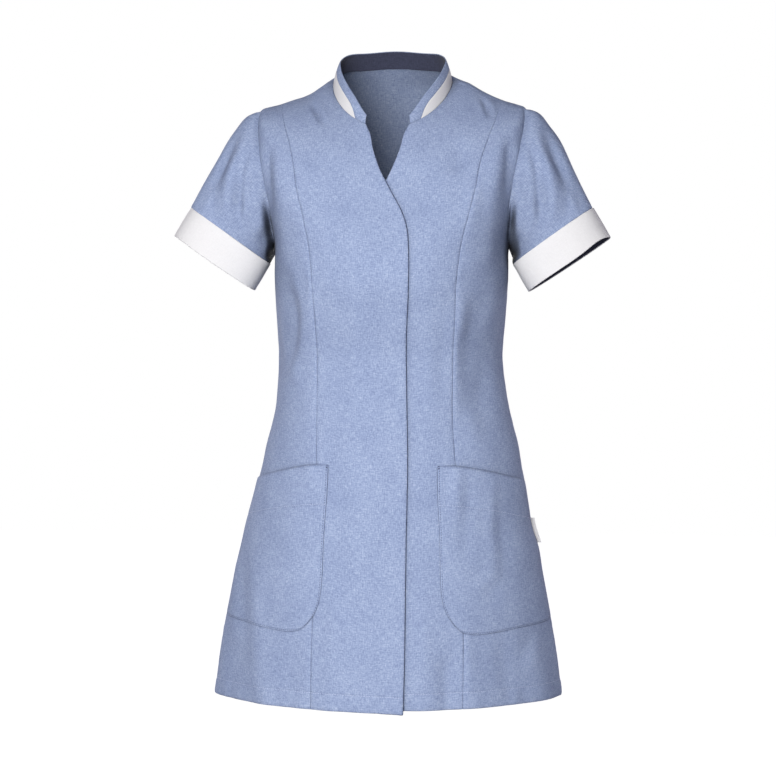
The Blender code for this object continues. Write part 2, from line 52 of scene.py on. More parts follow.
# Where the seams and edges run
SHOULDER_SEAM_ANGLE = 82.0
PRINCESS_TOP_S = 0.0635
SHOULDER_TIP_S = 0.098
ARMPIT_S = 0.272
HEM_S = 0.848
CLOSED_FROM_S = (0.060, 0.105)
LAP_RISE = 0.0013
LAP_FULL_X = 0.033
LAP_NONE_X = 0.058
# the double front edge: its width, how far the right one stands off and how much more at its
# corner, and how high up the corner reaches
PLACKET_WIDTH = 0.030
PLACKET_RISE = 0.0009
CORNER_RISE = 0.0010
PLACKET_CORNER = 0.09
FRONT_NECK_ANGLE = 21.6
# how much lower the front edge's corner hangs, by side
HEM_DROP = {-1: 0.002, 1: -0.003}
# heights of the hem, and of the armpit's level on the princess seam and on the front edge
HEM_Z = -0.783
PRINCESS_ARMPIT_Z = -0.224
EDGE_ARMPIT_Z = -0.236

# How deep the cloth lies at a seam: a narrow groove in a wider dip
SEAM_GROOVE = 0.0006
SEAM_GROOVE_REACH = 0.0006
SEAM_DIP = 0.0005
SEAM_DIP_REACH = 0.0030
# how far to either side a row of stitches draws the cloth in
STITCH_REACH = 0.0011
# how far the cloth is tucked in at an armpit on the body, where that is, and on the sleeve
ARMPIT_TUCK = 0.004
ARMPIT_X = 0.128
ARMPIT_Z = -0.205
SEAM_TUCK = 0.014
# how far a sleeve's inner line is folded back, between the armpit and the cuff
SLEEVE_TUCK = {-1: 0.026, 1: 0.034}
# share of the way round from a sleeve's top at which that begins, by side
TUCK_FROM = {-1: 0.885, 1: 0.810}
# height from which the fold deepens downwards, by side
TUCK_TOP = {-1: -0.156, 1: -0.148}
# how far the inner line stays off the body, at the cuff and higher up, by side
INNER_SHIFTS = {-1: (0.0024, 0.0024), 1: (0.0014, -0.0004)}

# How finely the pieces are divided
FINE = 8
ARMHOLE_ROWS = 12 * FINE
BODY_ROWS = 22 * FINE
CENTRE_COLUMNS = 54
SIDE_COLUMNS = 46
BACK_COLUMNS = 150
SLEEVE_ROWS = 72
TURN_POINTS = 144
CUFF_ROWS = 16
POCKET_ROWS = 70
POCKET_COLUMNS = 56
POCKET_LINE_POINTS = 120
SEARCH_POINTS = 1200
COLLAR_ROWS = 10
COLLAR_FACING_ROWS = 14

# Rough sizes of the pieces, from which the rows near their edges are spaced
FRONT_LENGTH = 0.78
CENTRE_WIDTH = 0.125
SIDE_WIDTH = 0.110
BACK_LENGTH = 0.80
BACK_WIDTH = 0.42
SLEEVE_LENGTH = 0.17
CUFF_HEIGHT = 0.041
POCKET_LENGTH = 0.20
POCKET_WIDTH = 0.135

# Distances from an edge at which extra rows lie
SEAM_STEPS = (0.0003, 0.0007, 0.0012, 0.0022, 0.0036)
CUFF_STEPS = (0.0005, 0.0012)
HEM_EDGE_STEPS = (0.0007, 0.0016)
POCKET_EDGE_STEPS = (0.0006, 0.0012, 0.0018, 0.0024, 0.0032)
POCKET_RIM_STEPS = (0.0004, 0.0009, 0.0014, 0.0020)

# Collar: degrees that it leans in, the axis it leans to, how far its middle stands out, how far
# from a seam it dips, and the angle from which it has its insert
COLLAR_LEAN = 17.0
COLLAR_AXIS_Y = -0.012
COLLAR_BULGE = 0.0010
COLLAR_SEAM_REACH = 0.0010
INSERT_FROM_ANGLE = 33.0
# how deep the band's foot and the insert's top are drawn in, how far the insert runs up under the
# band, and how much lower than the band the facing ends
BAND_DIP = 0.0004
INSERT_DIP = 0.0003
INSERT_OVERLAP = 0.0002
COLLAR_FACING_DROP = 0.0004

# Side label, and x and y round its folded tape
LABEL_CLOTH = 0.0003
LABEL_HEIGHT = 0.031
LABEL_S = 0.634
LABEL_ROWS = 13
LABEL_MIDDLE_X = 0.002
LABEL_PROFILE = np.array((
    (-0.0020, -0.0004), (0.0020, -0.00045), (0.0045, -0.0004), (0.0050, 0.0),
    (0.0045, 0.0004), (0.0020, 0.00045), (-0.0020, 0.0004),
))

# Stitches: share of the half length, of the width and of the height at each ring of one
STITCH_RINGS = ((-1.0, 0.30, -0.9), (-0.55, 0.9, 0.5), (0.55, 0.9, 0.5), (1.0, 0.30, -0.9))
STITCH_SIDES = 6
POCKET_STITCH_INSET = 0.0018
BAR_STITCH_INSETS = (0.0006, 0.0012, 0.0018)

# The worn form, ring by ring: s is the distance down from the neck, the rest is at that s
RING_COLUMNS = ("s", "half_width", "side_z", "front_depth", "front_z", "back_depth", "back_z",
                "round_x", "round_y", "round_z")
RINGS = np.array((
    (0.000, 0.0762, 0.0000, 0.088, -0.067, 0.058, 0.028, 1.00, 1.00, 1.20),
    (0.030, 0.1050, -0.0085, 0.098, -0.090, 0.079, 0.006, 0.95, 0.95, 1.35),
    (0.062, 0.1390, -0.0210, 0.107, -0.112, 0.095, -0.022, 0.88, 0.90, 1.50),
    (0.098, 0.1680, -0.0350, 0.114, -0.136, 0.105, -0.055, 0.82, 0.85, 1.60),
    (0.140, 0.1760, -0.0750, 0.121, -0.163, 0.111, -0.100, 0.80, 0.82, 1.80),
    (0.190, 0.1700, -0.1250, 0.128, -0.188, 0.115, -0.145, 0.80, 0.82, 1.90),
    (0.235, 0.1590, -0.1700, 0.134, -0.212, 0.116, -0.183, 0.82, 0.84, 2.00),
    (0.272, 0.1508, -0.2070, 0.138, -0.232, 0.115, -0.214, 0.84, 0.86, 2.00),
    (0.315, 0.1498, -0.2500, 0.137, -0.262, 0.112, -0.253, 0.86, 0.88, 2.00),
    (0.365, 0.1470, -0.3000, 0.125, -0.304, 0.103, -0.301, 0.88, 0.90, 2.00),
    (0.417, 0.1440, -0.3520, 0.112, -0.353, 0.094, -0.352, 0.90, 0.92, 2.00),
    (0.475, 0.1490, -0.4100, 0.113, -0.410, 0.101, -0.410, 0.90, 0.92, 2.00),
    (0.535, 0.1642, -0.4700, 0.119, -0.470, 0.115, -0.470, 0.92, 0.96, 2.00),
    (0.600, 0.1804, -0.5350, 0.126, -0.535, 0.128, -0.535, 0.94, 1.05, 2.00),
    (0.700, 0.2000, -0.6350, 0.133, -0.635, 0.137, -0.635, 0.96, 1.22, 2.00),
    (0.780, 0.2146, -0.7150, 0.138, -0.715, 0.141, -0.715, 0.98, 1.38, 2.00),
    (0.848, 0.2230, -0.7830, 0.141, -0.783, 0.144, -0.783, 0.98, 1.46, 2.00),
))

# s and x of the princess seam, on either side
PRINCESS = np.array((
    (0.0635, 0.1392), (0.070, 0.1345), (0.079, 0.1275), (0.090, 0.1218), (0.115, 0.1158),
    (0.150, 0.1108), (0.200, 0.1025), (0.260, 0.0942), (0.320, 0.0889), (0.362, 0.0866),
    (0.405, 0.0843), (0.450, 0.0840), (0.547, 0.0858), (0.665, 0.0902), (0.750, 0.0928),
    (0.860, 0.0935),
))

# how far the lower part of both princess seams hangs towards the wearer's left, and from which s
SKIRT_SHIFT = 0.0080
SKIRT_SHIFT_S = (0.47, 0.66)

# the neck stands higher than the solid's either side of the nape, down to this s
NAPE_RISE = 0.0060
NAPE_ANGLE = 120.0
NAPE_REACH = 23.0
NAPE_S = 0.060

# s and how far the shoulder line lies above the form's, on the wearer's right and left
SHOULDER_LINE = np.array((
    (0.000, 0.0000, 0.0000), (0.008, 0.0018, 0.0050), (0.018, -0.0008, 0.0058),
    (0.028, -0.0046, 0.0036), (0.037, -0.0056, 0.0013), (0.050, -0.0045, -0.0006),
    (0.062, -0.0038, -0.0010), (0.075, -0.0031, -0.0007), (0.088, -0.0012, 0.0005),
    (0.098, 0.0012, 0.0030), (0.119, 0.0010, 0.0036), (0.150, 0.0004, 0.0028),
    (0.210, 0.0000, 0.0000),
))

# degrees from the front at which the shoulder line is, and how far round it counts
SHOULDER_ANGLE = 87.0
SHOULDER_REACH = 24.0

# z and how far the sides lie outside the form's, on the wearer's right and left
SIDE_LINE = np.array((
    (-0.620, 0.0000, 0.0000), (-0.590, -0.0022, 0.0002), (-0.563, -0.0036, -0.0034),
    (-0.538, -0.0054, -0.0024), (-0.513, -0.0066, -0.0006), (-0.488, -0.0066, 0.0006),
    (-0.462, -0.0050, 0.0028), (-0.437, -0.0046, 0.0032), (-0.412, -0.0035, 0.0034),
    (-0.386, -0.0012, 0.0023), (-0.350, 0.0000, 0.0000),
))

# how much higher than its form the hem hangs at the wearer's left princess seam and side seam
LEFT_SEAM_RISE = 0.0030
LEFT_SIDE_RISE = 0.0060

# s and x of a front's edge, counted towards its own side, so the lap past the centre is below 0
FRONT_EDGE = np.array((
    (0.000, 0.0280), (0.012, 0.0222), (0.036, 0.0176), (0.061, 0.0116), (0.078, 0.0070),
    (0.096, 0.0010), (0.119, -0.0069), (0.144, -0.0156), (0.175, -0.0227), (0.207, -0.0275),
    (0.256, -0.0299), (0.330, -0.0299), (0.396, -0.0268), (0.448, -0.0273), (0.543, -0.0300),
    (0.648, -0.0296), (0.799, -0.0292), (0.860, -0.0280),
))

# share of the way, s and angle down the front and the back of an armhole
ARMHOLE_FRONT = np.array((
    (0.00, 0.098, 82.0), (0.15, 0.119, 72.5), (0.35, 0.150, 63.5), (0.55, 0.192, 64.0),
    (0.76, 0.237, 70.0), (0.92, 0.267, 80.5), (1.00, 0.272, 90.0),
))
ARMHOLE_BACK = np.array((
    (0.00, 0.098, 82.0), (0.15, 0.112, 99.0), (0.35, 0.148, 112.0), (0.55, 0.192, 114.0),
    (0.76, 0.237, 108.5), (0.92, 0.267, 99.0), (1.00, 0.272, 90.0),
))

# angle, whole height and height of the white insert round the collar
COLLAR = np.array((
    (21.6, 0.0108, 0.0000), (33.0, 0.0210, 0.0004), (36.5, 0.0236, 0.0076),
    (41.0, 0.0258, 0.0124), (51.0, 0.0282, 0.0160), (61.0, 0.0288, 0.0168), (71.5, 0.0285, 0.0165),
    (90.0, 0.0276, 0.0160), (120.0, 0.0228, 0.0134), (150.0, 0.0218, 0.0124),
    (180.0, 0.0218, 0.0120),
))

# s and x of a pocket's top, inner and bottom edges
POCKET_TOP = np.array(((0.549, 0.0675), (0.5495, 0.0790), (0.5510, 0.0930), (0.5545, 0.1150),
                       (0.5600, 0.1395), (0.5650, 0.1560)))
POCKET_INNER = np.array(((0.549, 0.0675), (0.592, 0.0686), (0.640, 0.0714), (0.690, 0.0728),
                         (0.715, 0.0758), (0.731, 0.0815), (0.7435, 0.0895)))
POCKET_BOTTOM = np.array(((0.7435, 0.0895), (0.7515, 0.0985), (0.7552, 0.1110),
                          (0.7555, 0.1240), (0.7535, 0.1450), (0.7500, 0.1690)))
POCKET_SIDE_TOP = (89.0, 0.5720)
POCKET_SIDE_BOTTOM = (89.0, 0.7440)

# x and z of the cuff's seam and edge at their outer and inner ends, and their half depths
CUFF_SEAM_OUTER = (0.2570, -0.1600)
CUFF_SEAM_INNER = (0.1560, -0.2320)
CUFF_EDGE_OUTER = (0.2788, -0.1965)
CUFF_EDGE_INNER = (0.1755, -0.2655)
CUFF_SEAM_HALF_DEPTH = 0.043
CUFF_EDGE_HALF_DEPTH = 0.045
SLEEVE_CENTRE_Y = -0.004
# 1 for an ellipse, less for one with flatter faces
CUFF_FULLNESS = 0.80
# how uneven a cuff's cloth is, and how far it stands off at its seam
CUFF_SOFTNESS = 0.0009
CUFF_PROUD = 0.0003
# share of its height at which a cuff's facing ends, and how far it lies inside the cuff's cloth
FACING_SHARE = 0.985
FACING_GAP = 0.0009
# share of its height by which a cuff's front edge is drawn up, by side
CUFF_EDGE_LIFT = {-1: 0.02, 1: 0.085}

# directions in which the cloth leaves the armhole, on top, underneath and how far to the front
# and back between them, and comes to the cuff, and how strongly it keeps to them
LEAVE_TOP = (0.90, 0.0, -0.43)
LEAVE_UNDER = (0.50, 0.0, -0.86)
LEAVE_SPREAD = -0.12
LEAVE_PULL = 0.90
ARRIVE = np.array((0.478, 0.0, -0.878))
ARRIVE_PULL = 0.85

# how full the top of a sleeve is, by side: distance from the armhole, reach and rise
CAP_RISES = {-1: ((0.020, 0.015, 0.0036), (0.045, 0.027, 0.0028)),
             1: ((0.018, 0.015, 0.0036), (0.055, 0.034, 0.0028))}

# Folds of the body: +1 front or -1 back, top x and z, bottom x and z, bow sideways, half width
# at the top and the bottom, rise; most of the large ones are in the solids too
LARGE_FOLDS = (
    (1, -0.152, -0.215, -0.162, -0.405, -0.029, 0.017, 0.019, -0.0066),
    (1, 0.136, -0.300, 0.116, -0.425, 0.0, 0.014, 0.014, -0.0014),
    (1, 0.098, -0.262, 0.094, -0.338, 0.0, 0.008, 0.008, 0.0020),
    (1, 0.092, -0.075, 0.090, -0.140, 0.0, 0.012, 0.012, -0.0022),
    (1, 0.112, -0.125, 0.101, -0.205, 0.0, 0.010, 0.010, 0.0022),
    (1, -0.188, -0.700, -0.197, -0.783, 0.0, 0.014, 0.014, -0.0035),
    (1, 0.188, -0.700, 0.200, -0.783, 0.0, 0.014, 0.014, 0.0035),
    (1, -0.056, -0.640, -0.060, -0.783, 0.0, 0.015, 0.015, 0.0028),
    (1, 0.078, -0.705, 0.084, -0.783, 0.0, 0.012, 0.012, -0.0030),
    (-1, -0.118, -0.270, -0.104, -0.372, 0.0, 0.013, 0.013, -0.0040),
    (-1, 0.120, -0.285, 0.106, -0.400, 0.0, 0.013, 0.013, -0.0040),
    (-1, -0.070, -0.560, -0.082, -0.783, 0.0, 0.018, 0.018, 0.0038),
    (-1, 0.078, -0.580, 0.090, -0.783, 0.0, 0.018, 0.018, 0.0038),
    (-1, 0.000, -0.600, 0.004, -0.783, 0.0, 0.020, 0.020, -0.0030),
    (-1, 0.000, -0.330, 0.002, -0.420, 0.0, 0.030, 0.030, -0.0030),
)
SMALL_FOLDS = (
    # waist on the left of the picture: the hollow, the pale strip beside it and drags out of it
    (1, -0.093, -0.232, -0.095, -0.345, -0.002, 0.006, 0.009, 0.0014),
    (1, -0.128, -0.330, -0.100, -0.398, 0.004, 0.008, 0.006, 0.0012),
    (1, -0.142, -0.300, -0.124, -0.385, 0.003, 0.006, 0.007, 0.0011),
    (1, -0.122, -0.225, -0.134, -0.395, -0.024, 0.006, 0.007, 0.0012),
    (1, -0.133, -0.240, -0.145, -0.400, -0.0240, 0.0085, 0.0090, -0.0024),
    # waist on the right of the picture
    (1, 0.136, -0.250, 0.122, -0.330, -0.003, 0.007, 0.009, 0.0012),
    (1, 0.128, -0.355, 0.118, -0.440, 0.003, 0.010, 0.012, -0.0014),
    (1, 0.104, -0.410, 0.112, -0.468, 0.000, 0.008, 0.010, 0.0010),
    (1, 0.1210, -0.245, 0.1210, -0.475, 0.000, 0.026, 0.029, -0.0050),
    (1, 0.088, -0.262, 0.086, -0.440, 0.000, 0.009, 0.010, 0.0024),
    # armpits, front and back
    (1, 0.150, -0.140, 0.146, -0.255, 0.0, 0.008, 0.010, -0.0008),
    (1, -0.150, -0.140, -0.146, -0.255, 0.0, 0.008, 0.010, -0.0020),
    (-1, 0.150, -0.140, 0.146, -0.255, 0.0, 0.008, 0.010, -0.0024),
    (-1, -0.150, -0.140, -0.146, -0.255, 0.0, 0.008, 0.010, -0.0024),
    # shoulders: short creases from the neck side, and the hollows beside the sleeves
    (1, -0.1015, -0.0215, -0.0785, -0.0660, 0.001, 0.0034, 0.0040, -0.0027),
    (1, 0.1120, -0.0185, 0.1260, -0.0550, -0.002, 0.0034, 0.0040, -0.0027),
    (1, 0.150, -0.070, 0.146, -0.175, -0.003, 0.006, 0.008, -0.0034),
    (1, -0.149, -0.080, -0.144, -0.185, 0.003, 0.006, 0.008, -0.0034),
    (1, 0.135, -0.085, 0.128, -0.190, 0.002, 0.007, 0.009, 0.0010),
    (1, -0.132, -0.090, -0.124, -0.175, 0.001, 0.008, 0.009, 0.0008),
    (1, 0.068, -0.095, 0.072, -0.185, 0.002, 0.010, 0.013, 0.0008),
    (1, -0.072, -0.090, -0.066, -0.170, 0.001, 0.011, 0.013, -0.0007),
    # bust: drags from the point towards the armpit
    (1, 0.088, -0.238, 0.142, -0.212, 0.004, 0.007, 0.009, 0.0010),
    (1, 0.092, -0.258, 0.146, -0.244, 0.003, 0.006, 0.009, -0.0009),
    (1, -0.088, -0.238, -0.142, -0.212, 0.004, 0.007, 0.009, 0.0008),
    (1, -0.095, -0.262, -0.146, -0.250, 0.003, 0.006, 0.009, -0.0009),
    # front, between the princess seams
    (1, -0.048, -0.300, -0.056, -0.430, 0.003, 0.016, 0.020, -0.0010),
    (1, 0.052, -0.290, 0.058, -0.450, -0.003, 0.014, 0.018, 0.0009),
    (1, -0.018, -0.460, -0.022, -0.640, 0.003, 0.015, 0.020, 0.0010),
    (1, 0.026, -0.517, 0.064, -0.527, 0.001, 0.0030, 0.0035, -0.0005),
    (1, -0.060, -0.440, -0.070, -0.520, 0.002, 0.012, 0.010, -0.0008),
    # pocket on the right of the picture
    (1, 0.0895, -0.470, 0.0920, -0.560, 0.001, 0.0055, 0.008, 0.0013),
    (1, 0.1120, -0.475, 0.1010, -0.630, 0.003, 0.009, 0.011, -0.0013),
    (1, 0.1305, -0.478, 0.1325, -0.640, -0.002, 0.0050, 0.008, 0.0012),
    (1, 0.1520, -0.520, 0.1480, -0.640, 0.002, 0.008, 0.010, -0.0010),
    (1, 0.1060, -0.640, 0.1480, -0.600, 0.004, 0.007, 0.009, 0.0009),
    # skirt on the right of the picture
    (1, 0.105, -0.668, 0.113, -0.783, 0.002, 0.008, 0.013, 0.0014),
    (1, 0.143, -0.672, 0.158, -0.783, 0.000, 0.009, 0.013, -0.0016),
    (1, 0.196, -0.688, 0.178, -0.748, 0.001, 0.006, 0.008, 0.0013),
    (1, 0.048, -0.640, 0.050, -0.783, -0.003, 0.012, 0.016, 0.0010),
    # skirt and pocket on the left of the picture
    (1, -0.181, -0.560, -0.172, -0.783, 0.002, 0.007, 0.012, -0.0016),
    (1, -0.160, -0.585, -0.150, -0.783, 0.003, 0.010, 0.014, 0.0012),
    (1, -0.066, -0.612, -0.040, -0.700, 0.003, 0.008, 0.013, 0.0012),
    (1, -0.118, -0.500, -0.112, -0.620, 0.002, 0.013, 0.014, 0.0009),
    (1, -0.108, -0.690, -0.114, -0.783, 0.001, 0.010, 0.013, -0.0011),
    # back: shoulder blades, waist and skirt
    (-1, -0.070, -0.060, -0.086, -0.185, 0.004, 0.012, 0.016, 0.0021),
    (-1, 0.066, -0.055, 0.084, -0.190, -0.004, 0.013, 0.016, 0.0018),
    (-1, -0.140, -0.090, -0.132, -0.195, -0.003, 0.006, 0.008, -0.0033),
    (-1, 0.141, -0.085, 0.133, -0.190, 0.003, 0.006, 0.008, -0.0033),
    (-1, -0.030, -0.295, -0.115, -0.335, -0.005, 0.007, 0.009, 0.0019),
    (-1, 0.034, -0.300, 0.118, -0.345, 0.005, 0.007, 0.010, 0.0018),
    (-1, -0.026, -0.335, -0.118, -0.382, -0.005, 0.008, 0.010, -0.0019),
    (-1, 0.030, -0.345, 0.120, -0.392, 0.005, 0.008, 0.010, -0.0018),
    (-1, -0.062, -0.400, -0.074, -0.560, 0.003, 0.012, 0.016, 0.0019),
    (-1, 0.058, -0.410, 0.070, -0.570, -0.003, 0.012, 0.016, 0.0021),
    (-1, -0.125, -0.480, -0.148, -0.783, 0.004, 0.011, 0.016, -0.0024),
    (-1, 0.122, -0.470, 0.146, -0.783, -0.004, 0.011, 0.016, -0.0023),
    (-1, 0.036, -0.620, 0.042, -0.783, 0.002, 0.011, 0.016, 0.0019),
    (-1, -0.036, -0.640, -0.040, -0.783, 0.002, 0.011, 0.016, 0.0018),
    (-1, 0.000, -0.070, 0.000, -0.230, 0.002, 0.018, 0.022, -0.0018),
    # back: the sewn waist darts
    (-1, 0.078, -0.215, 0.081, -0.515, 0.0, 0.0040, 0.0040, -0.0022),
    (-1, -0.078, -0.215, -0.081, -0.515, 0.0, 0.0040, 0.0040, -0.0022),
)

# Folds along a sleeve: degrees round from its top, first and last share of its length, half
# width in degrees, rise, and how far it turns round on its way down
LARGE_SLEEVE_FOLDS = (
    (52.0, 0.05, 0.95, 13.0, 0.0022, 0.0),
    (84.0, 0.00, 0.80, 13.0, -0.0026, 0.0),
    (118.0, 0.10, 0.90, 13.0, 0.0016, 0.0),
    (250.0, 0.05, 0.90, 15.0, -0.0024, 0.0),
    (292.0, 0.10, 0.95, 15.0, 0.0020, 0.0),
)
SMALL_SLEEVE_FOLDS = (
    (40.0, 0.00, 0.80, 7.5, -0.0024, 80.0),
    (22.0, 0.05, 0.95, 8.5, 0.0022, 75.0),
    (4.0, 0.15, 1.05, 8.5, -0.0020, 65.0),
    (322.0, 0.00, 0.80, 8.0, -0.0022, -80.0),
    (342.0, 0.05, 0.95, 9.0, 0.0020, -70.0),
    (68.0, 0.02, 0.70, 6.0, 0.0008, -8.0),
    (98.0, 0.10, 0.85, 6.5, 0.0010, -6.0),
    (34.0, 0.20, 1.05, 8.0, -0.0010, 6.0),
    (136.0, 0.05, 0.70, 8.0, -0.0012, -4.0),
    (158.0, 0.00, 0.60, 9.0, 0.0010, 0.0),
    (16.0, 0.30, 1.05, 9.0, 0.0007, 4.0),
    (228.0, 0.05, 0.75, 8.0, 0.0010, 4.0),
    (268.0, 0.05, 0.80, 7.0, -0.0009, 6.0),
    (318.0, 0.15, 1.00, 9.0, -0.0009, -5.0),
    (338.0, 0.30, 1.05, 9.0, 0.0006, -5.0),
)

# how deep the cloth dips beside a small fold, and the share of its length over which one fades
FLANKS = 0.3
FOLD_FADE = 0.4
SLEEVE_FOLD_FADE = 0.3

# Unevenness of the cloth: size of the waves across and down, and their height
WAVES = ((0.075, 0.150, 0.0011), (0.034, 0.080, 0.0005), (0.016, 0.026, 0.00014))

# Colours, and noise in the cloth's: waves in a metre across and down the weave, detail and share
CHAMBRAY_DARK = (0.156, 0.200, 0.338)
CHAMBRAY_MID = (0.272, 0.335, 0.501)
CHAMBRAY_LIGHT = (0.440, 0.512, 0.658)
WHITE = (0.712, 0.704, 0.700)
NAVY = (0.040, 0.044, 0.075)
# hem thread: pale partly as thread colour and partly as a painted highlight along its stitched
# ridge
PALE_THREAD_AND_HIGHLIGHT = (0.500, 0.570, 0.760)
# pocket thread: dark partly as thread colour and partly as painted shade of its needle holes
DARK_THREAD_AND_SHADE = (0.060, 0.078, 0.150)
YARN_NOISE = {
    "warp": (950.0, 130.0, 2.0, 0.75),
    "weft": (120.0, 950.0, 2.0, 0.75),
    "fine_warp": (2600.0, 240.0, 1.0, 0.40),
    "fine_weft": (240.0, 2600.0, 1.0, 0.40),
    "heather": (480.0, 520.0, 3.0, 0.70),
    "cloud": (28.0, 22.0, 2.0, 0.26),
}
YARN_CONTRAST = 0.8
RAMP_MARGIN = 0.12
BUMP_DISTANCE = 0.00025
SPECULAR_LEVEL = 0.12
SHEEN_ROUGHNESS = 0.6
# painted shade: the cloth's colour is darkened in a hollow; how far off another surface counts
PAINTED_SHADE_REACH = 0.200

# Floor, and each lamp's name, place, diameter, watts and colour
FLOOR_RADIUS = 40.0
FLOOR_Z = -3.4
FLOOR_COLOUR = (0.40, 0.40, 0.40)
PURE_WHITE = (1.0, 1.0, 1.0)
SIDE_COLOUR = (0.96, 0.92, 1.0)
LIGHT_TARGET = (0.0, 0.0, -0.38)
LIGHTS = (
    ("key", (-0.43, -2.95, -0.08), 1.8, 106.5, PURE_WHITE),
    ("fill", (1.35, -2.60, -0.55), 1.6, 7.0, PURE_WHITE),
    ("back", (0.0, 3.0, 0.2), 1.4, 50.0, PURE_WHITE),
    ("left_side", (1.93, 2.3, 0.0), 1.4, 36.0, SIDE_COLOUR),
    ("right_side", (-1.93, 2.3, 0.0), 1.4, 36.0, SIDE_COLOUR),
)
WORLD_COLOUR = (0.80, 0.76, 1.0)
WORLD_STRENGTH = 0.15

# Camera
CAMERA_TURN = np.radians(4.3)
CAMERA_DISTANCE = 2.6
CAMERA_ROLL = np.radians(0.5)
CAMERA_SIDESTEP = -0.0028
CAMERA_LENS = 94.23
SENSOR_WIDTH = 36.0
EYE_Z = -0.39


def along(knots, values, at):
    """A smooth curve through the values at the knots."""
    at = np.asarray(at, float)
    step = np.diff(knots)
    rise = np.diff(values) / step
    slope = np.empty(len(knots))
    slope[0] = rise[0]
    slope[-1] = rise[-1]
    slope[1:-1] = (rise[:-1] * step[1:] + rise[1:] * step[:-1]) / (step[1:] + step[:-1])
    i = np.clip(np.searchsorted(knots, at, side="right") - 1, 0, len(knots) - 2)
    h = step[i]
    t = (at - knots[i]) / h
    return (values[i] * (1 + 2 * t) * (1 - t) ** 2 + slope[i] * h * t * (1 - t) ** 2
            + values[i + 1] * t * t * (3 - 2 * t) + slope[i + 1] * h * t * t * (t - 1))


def look_up(table, column, at):
    """A smooth curve through one column of a table, against its first column."""
    return along(table[:, 0], table[:, column], at)


def smooth(t):
    """A soft step from 0 at 0 to 1 at 1."""
    t = np.clip(t, 0.0, 1.0)
    return t * t * (3 - 2 * t)


def bell(d, reach):
    """A soft bump, 1 in its middle and about a third at this reach."""
    return np.exp(-(d / reach) ** 2)


def unit(vectors):
    """The same directions at length 1."""
    return vectors / np.maximum(np.linalg.norm(vectors, axis=-1, keepdims=True), 1e-12)


def read_off(at, run, values):
    """The columns of some values, at places along their run."""
    return np.stack([np.interp(at, run, column) for column in values.T], axis=-1)


def from_front(angle):
    """Degrees from the middle of the front, on either side."""
    return np.where(angle > 180, 360 - angle, angle)


def ring(name, s):
    """A measure of the worn form at some distances down from the neck."""
    return look_up(RINGS, RING_COLUMNS.index(name), s)


def form(angle, s):
    """Points of the worn form, before its folds."""
    turn = np.radians(angle)
    across = np.sin(turn)
    ahead = np.cos(turn)
    share = np.abs(across) ** ring("round_x", s) * np.sign(across)
    depth = np.abs(ahead) ** ring("round_y", s)
    fall = np.abs(ahead) ** ring("round_z", s)
    front = ahead > 0
    side_z = ring("side_z", s)
    far_z = np.where(front, ring("front_z", s), ring("back_z", s))
    x = ring("half_width", s) * share
    y = np.where(front, -ring("front_depth", s), ring("back_depth", s)) * depth
    nape = bell(from_front(angle) - NAPE_ANGLE, NAPE_REACH) * (1 - smooth(s / NAPE_S))
    z = side_z + (far_z - side_z) * fall + NAPE_RISE * nape
    return np.stack([x, y, z], axis=-1)


def outward(angle, s):
    """Unit normals of the form."""
    s_low = np.maximum(s - 0.001, 0.0)
    round_it = form(angle + 0.5, s) - form(angle - 0.5, s)
    down_it = form(angle, s + 0.001) - form(angle, s_low)
    return unit(np.cross(down_it, round_it))


LATTICE = np.random.default_rng(7).uniform(-1.0, 1.0, (32, 32, 32))


def noise(points, size, shift=0.0):
    """Smooth uneven values from -1 to 1 in space, with waves of about this size."""
    q = points / np.asarray(size) + shift
    cell = np.floor(q).astype(int)
    f = smooth(q - cell)
    total = np.zeros(points.shape[:-1])
    for corner in itertools.product((0, 1), repeat=3):
        at = (cell + corner) % 32
        share = np.ones(points.shape[:-1])
        for axis in range(3):
            share = share * (f[..., axis] if corner[axis] else 1 - f[..., axis])
        total += share * LATTICE[at[..., 0], at[..., 1], at[..., 2]]
    return total


def waves(points):
    """The slight unevenness of hanging cloth."""
    rise = np.zeros(points.shape[:-1])
    for index, (across, down_by, height) in enumerate(WAVES):
        rise += height * noise(points, (across, across, down_by), 3.7 * index + 0.31)
    return rise


def fold_shape(d, flanks):
    """Height across a fold, at distances in half widths; flanks is the dip on either side."""
    return bell(d, 1) - flanks * (bell(d - 2, 1) + bell(d + 2, 1))


def fold_rise(points, side, folds, flanks):
    """How far folds lift the cloth of the body."""
    x = points[..., 0] * side
    z = points[..., 2]
    rise = np.zeros(x.shape)
    for face, x0, z0, x1, z1, bow, width0, width1, height in folds:
        length = np.hypot(x1 - x0, z1 - z0)
        dx = (x1 - x0) / length
        dz = (z1 - z0) / length
        t = ((x - x0) * dx + (z - z0) * dz) / length
        inside = np.clip(t, 0, 1)
        off = (x - x0) * dz - (z - z0) * dx - bow * 4 * inside * (1 - inside)
        shape = fold_shape(off / (width0 + (width1 - width0) * inside), flanks)
        open_end = z1 < HEM_Z + 0.002
        fade = smooth(t / FOLD_FADE) * (1.0 if open_end else smooth((1 - t) / FOLD_FADE))
        on_face = smooth(-face * points[..., 1] / 0.03)
        rise += height * shape * fade * on_face
    return rise


def by_side(table, at, x):
    """A value from a table of the right and the left side, blended across the middle."""
    at = np.clip(at, table[0, 0], table[-1, 0])
    left = smooth((x + 0.03) / 0.06)
    return (1 - left) * look_up(table, 1, at) + left * look_up(table, 2, at)


def shoulder_rise(places, x):
    """The shoulder line sags between neck and tip, and the left shoulder is worn higher."""
    near = bell(from_front(places[..., 0]) - SHOULDER_ANGLE, SHOULDER_REACH)
    low = smooth((places[..., 1] - 0.085) / 0.03) * smooth(np.abs(x) / 0.10)
    return (near + (1 - near) * low) * by_side(SHOULDER_LINE, places[..., 1], x)


def armpit_tuck(points):
    """How far the cloth in front of and behind an armpit is tucked in, towards the middle."""
    near = bell(points[..., 2] - ARMPIT_Z, 0.030)
    near = near * smooth((np.abs(points[..., 0]) - ARMPIT_X) / 0.018)
    return ARMPIT_TUCK * near * -np.tanh(points[..., 1] / 0.012)


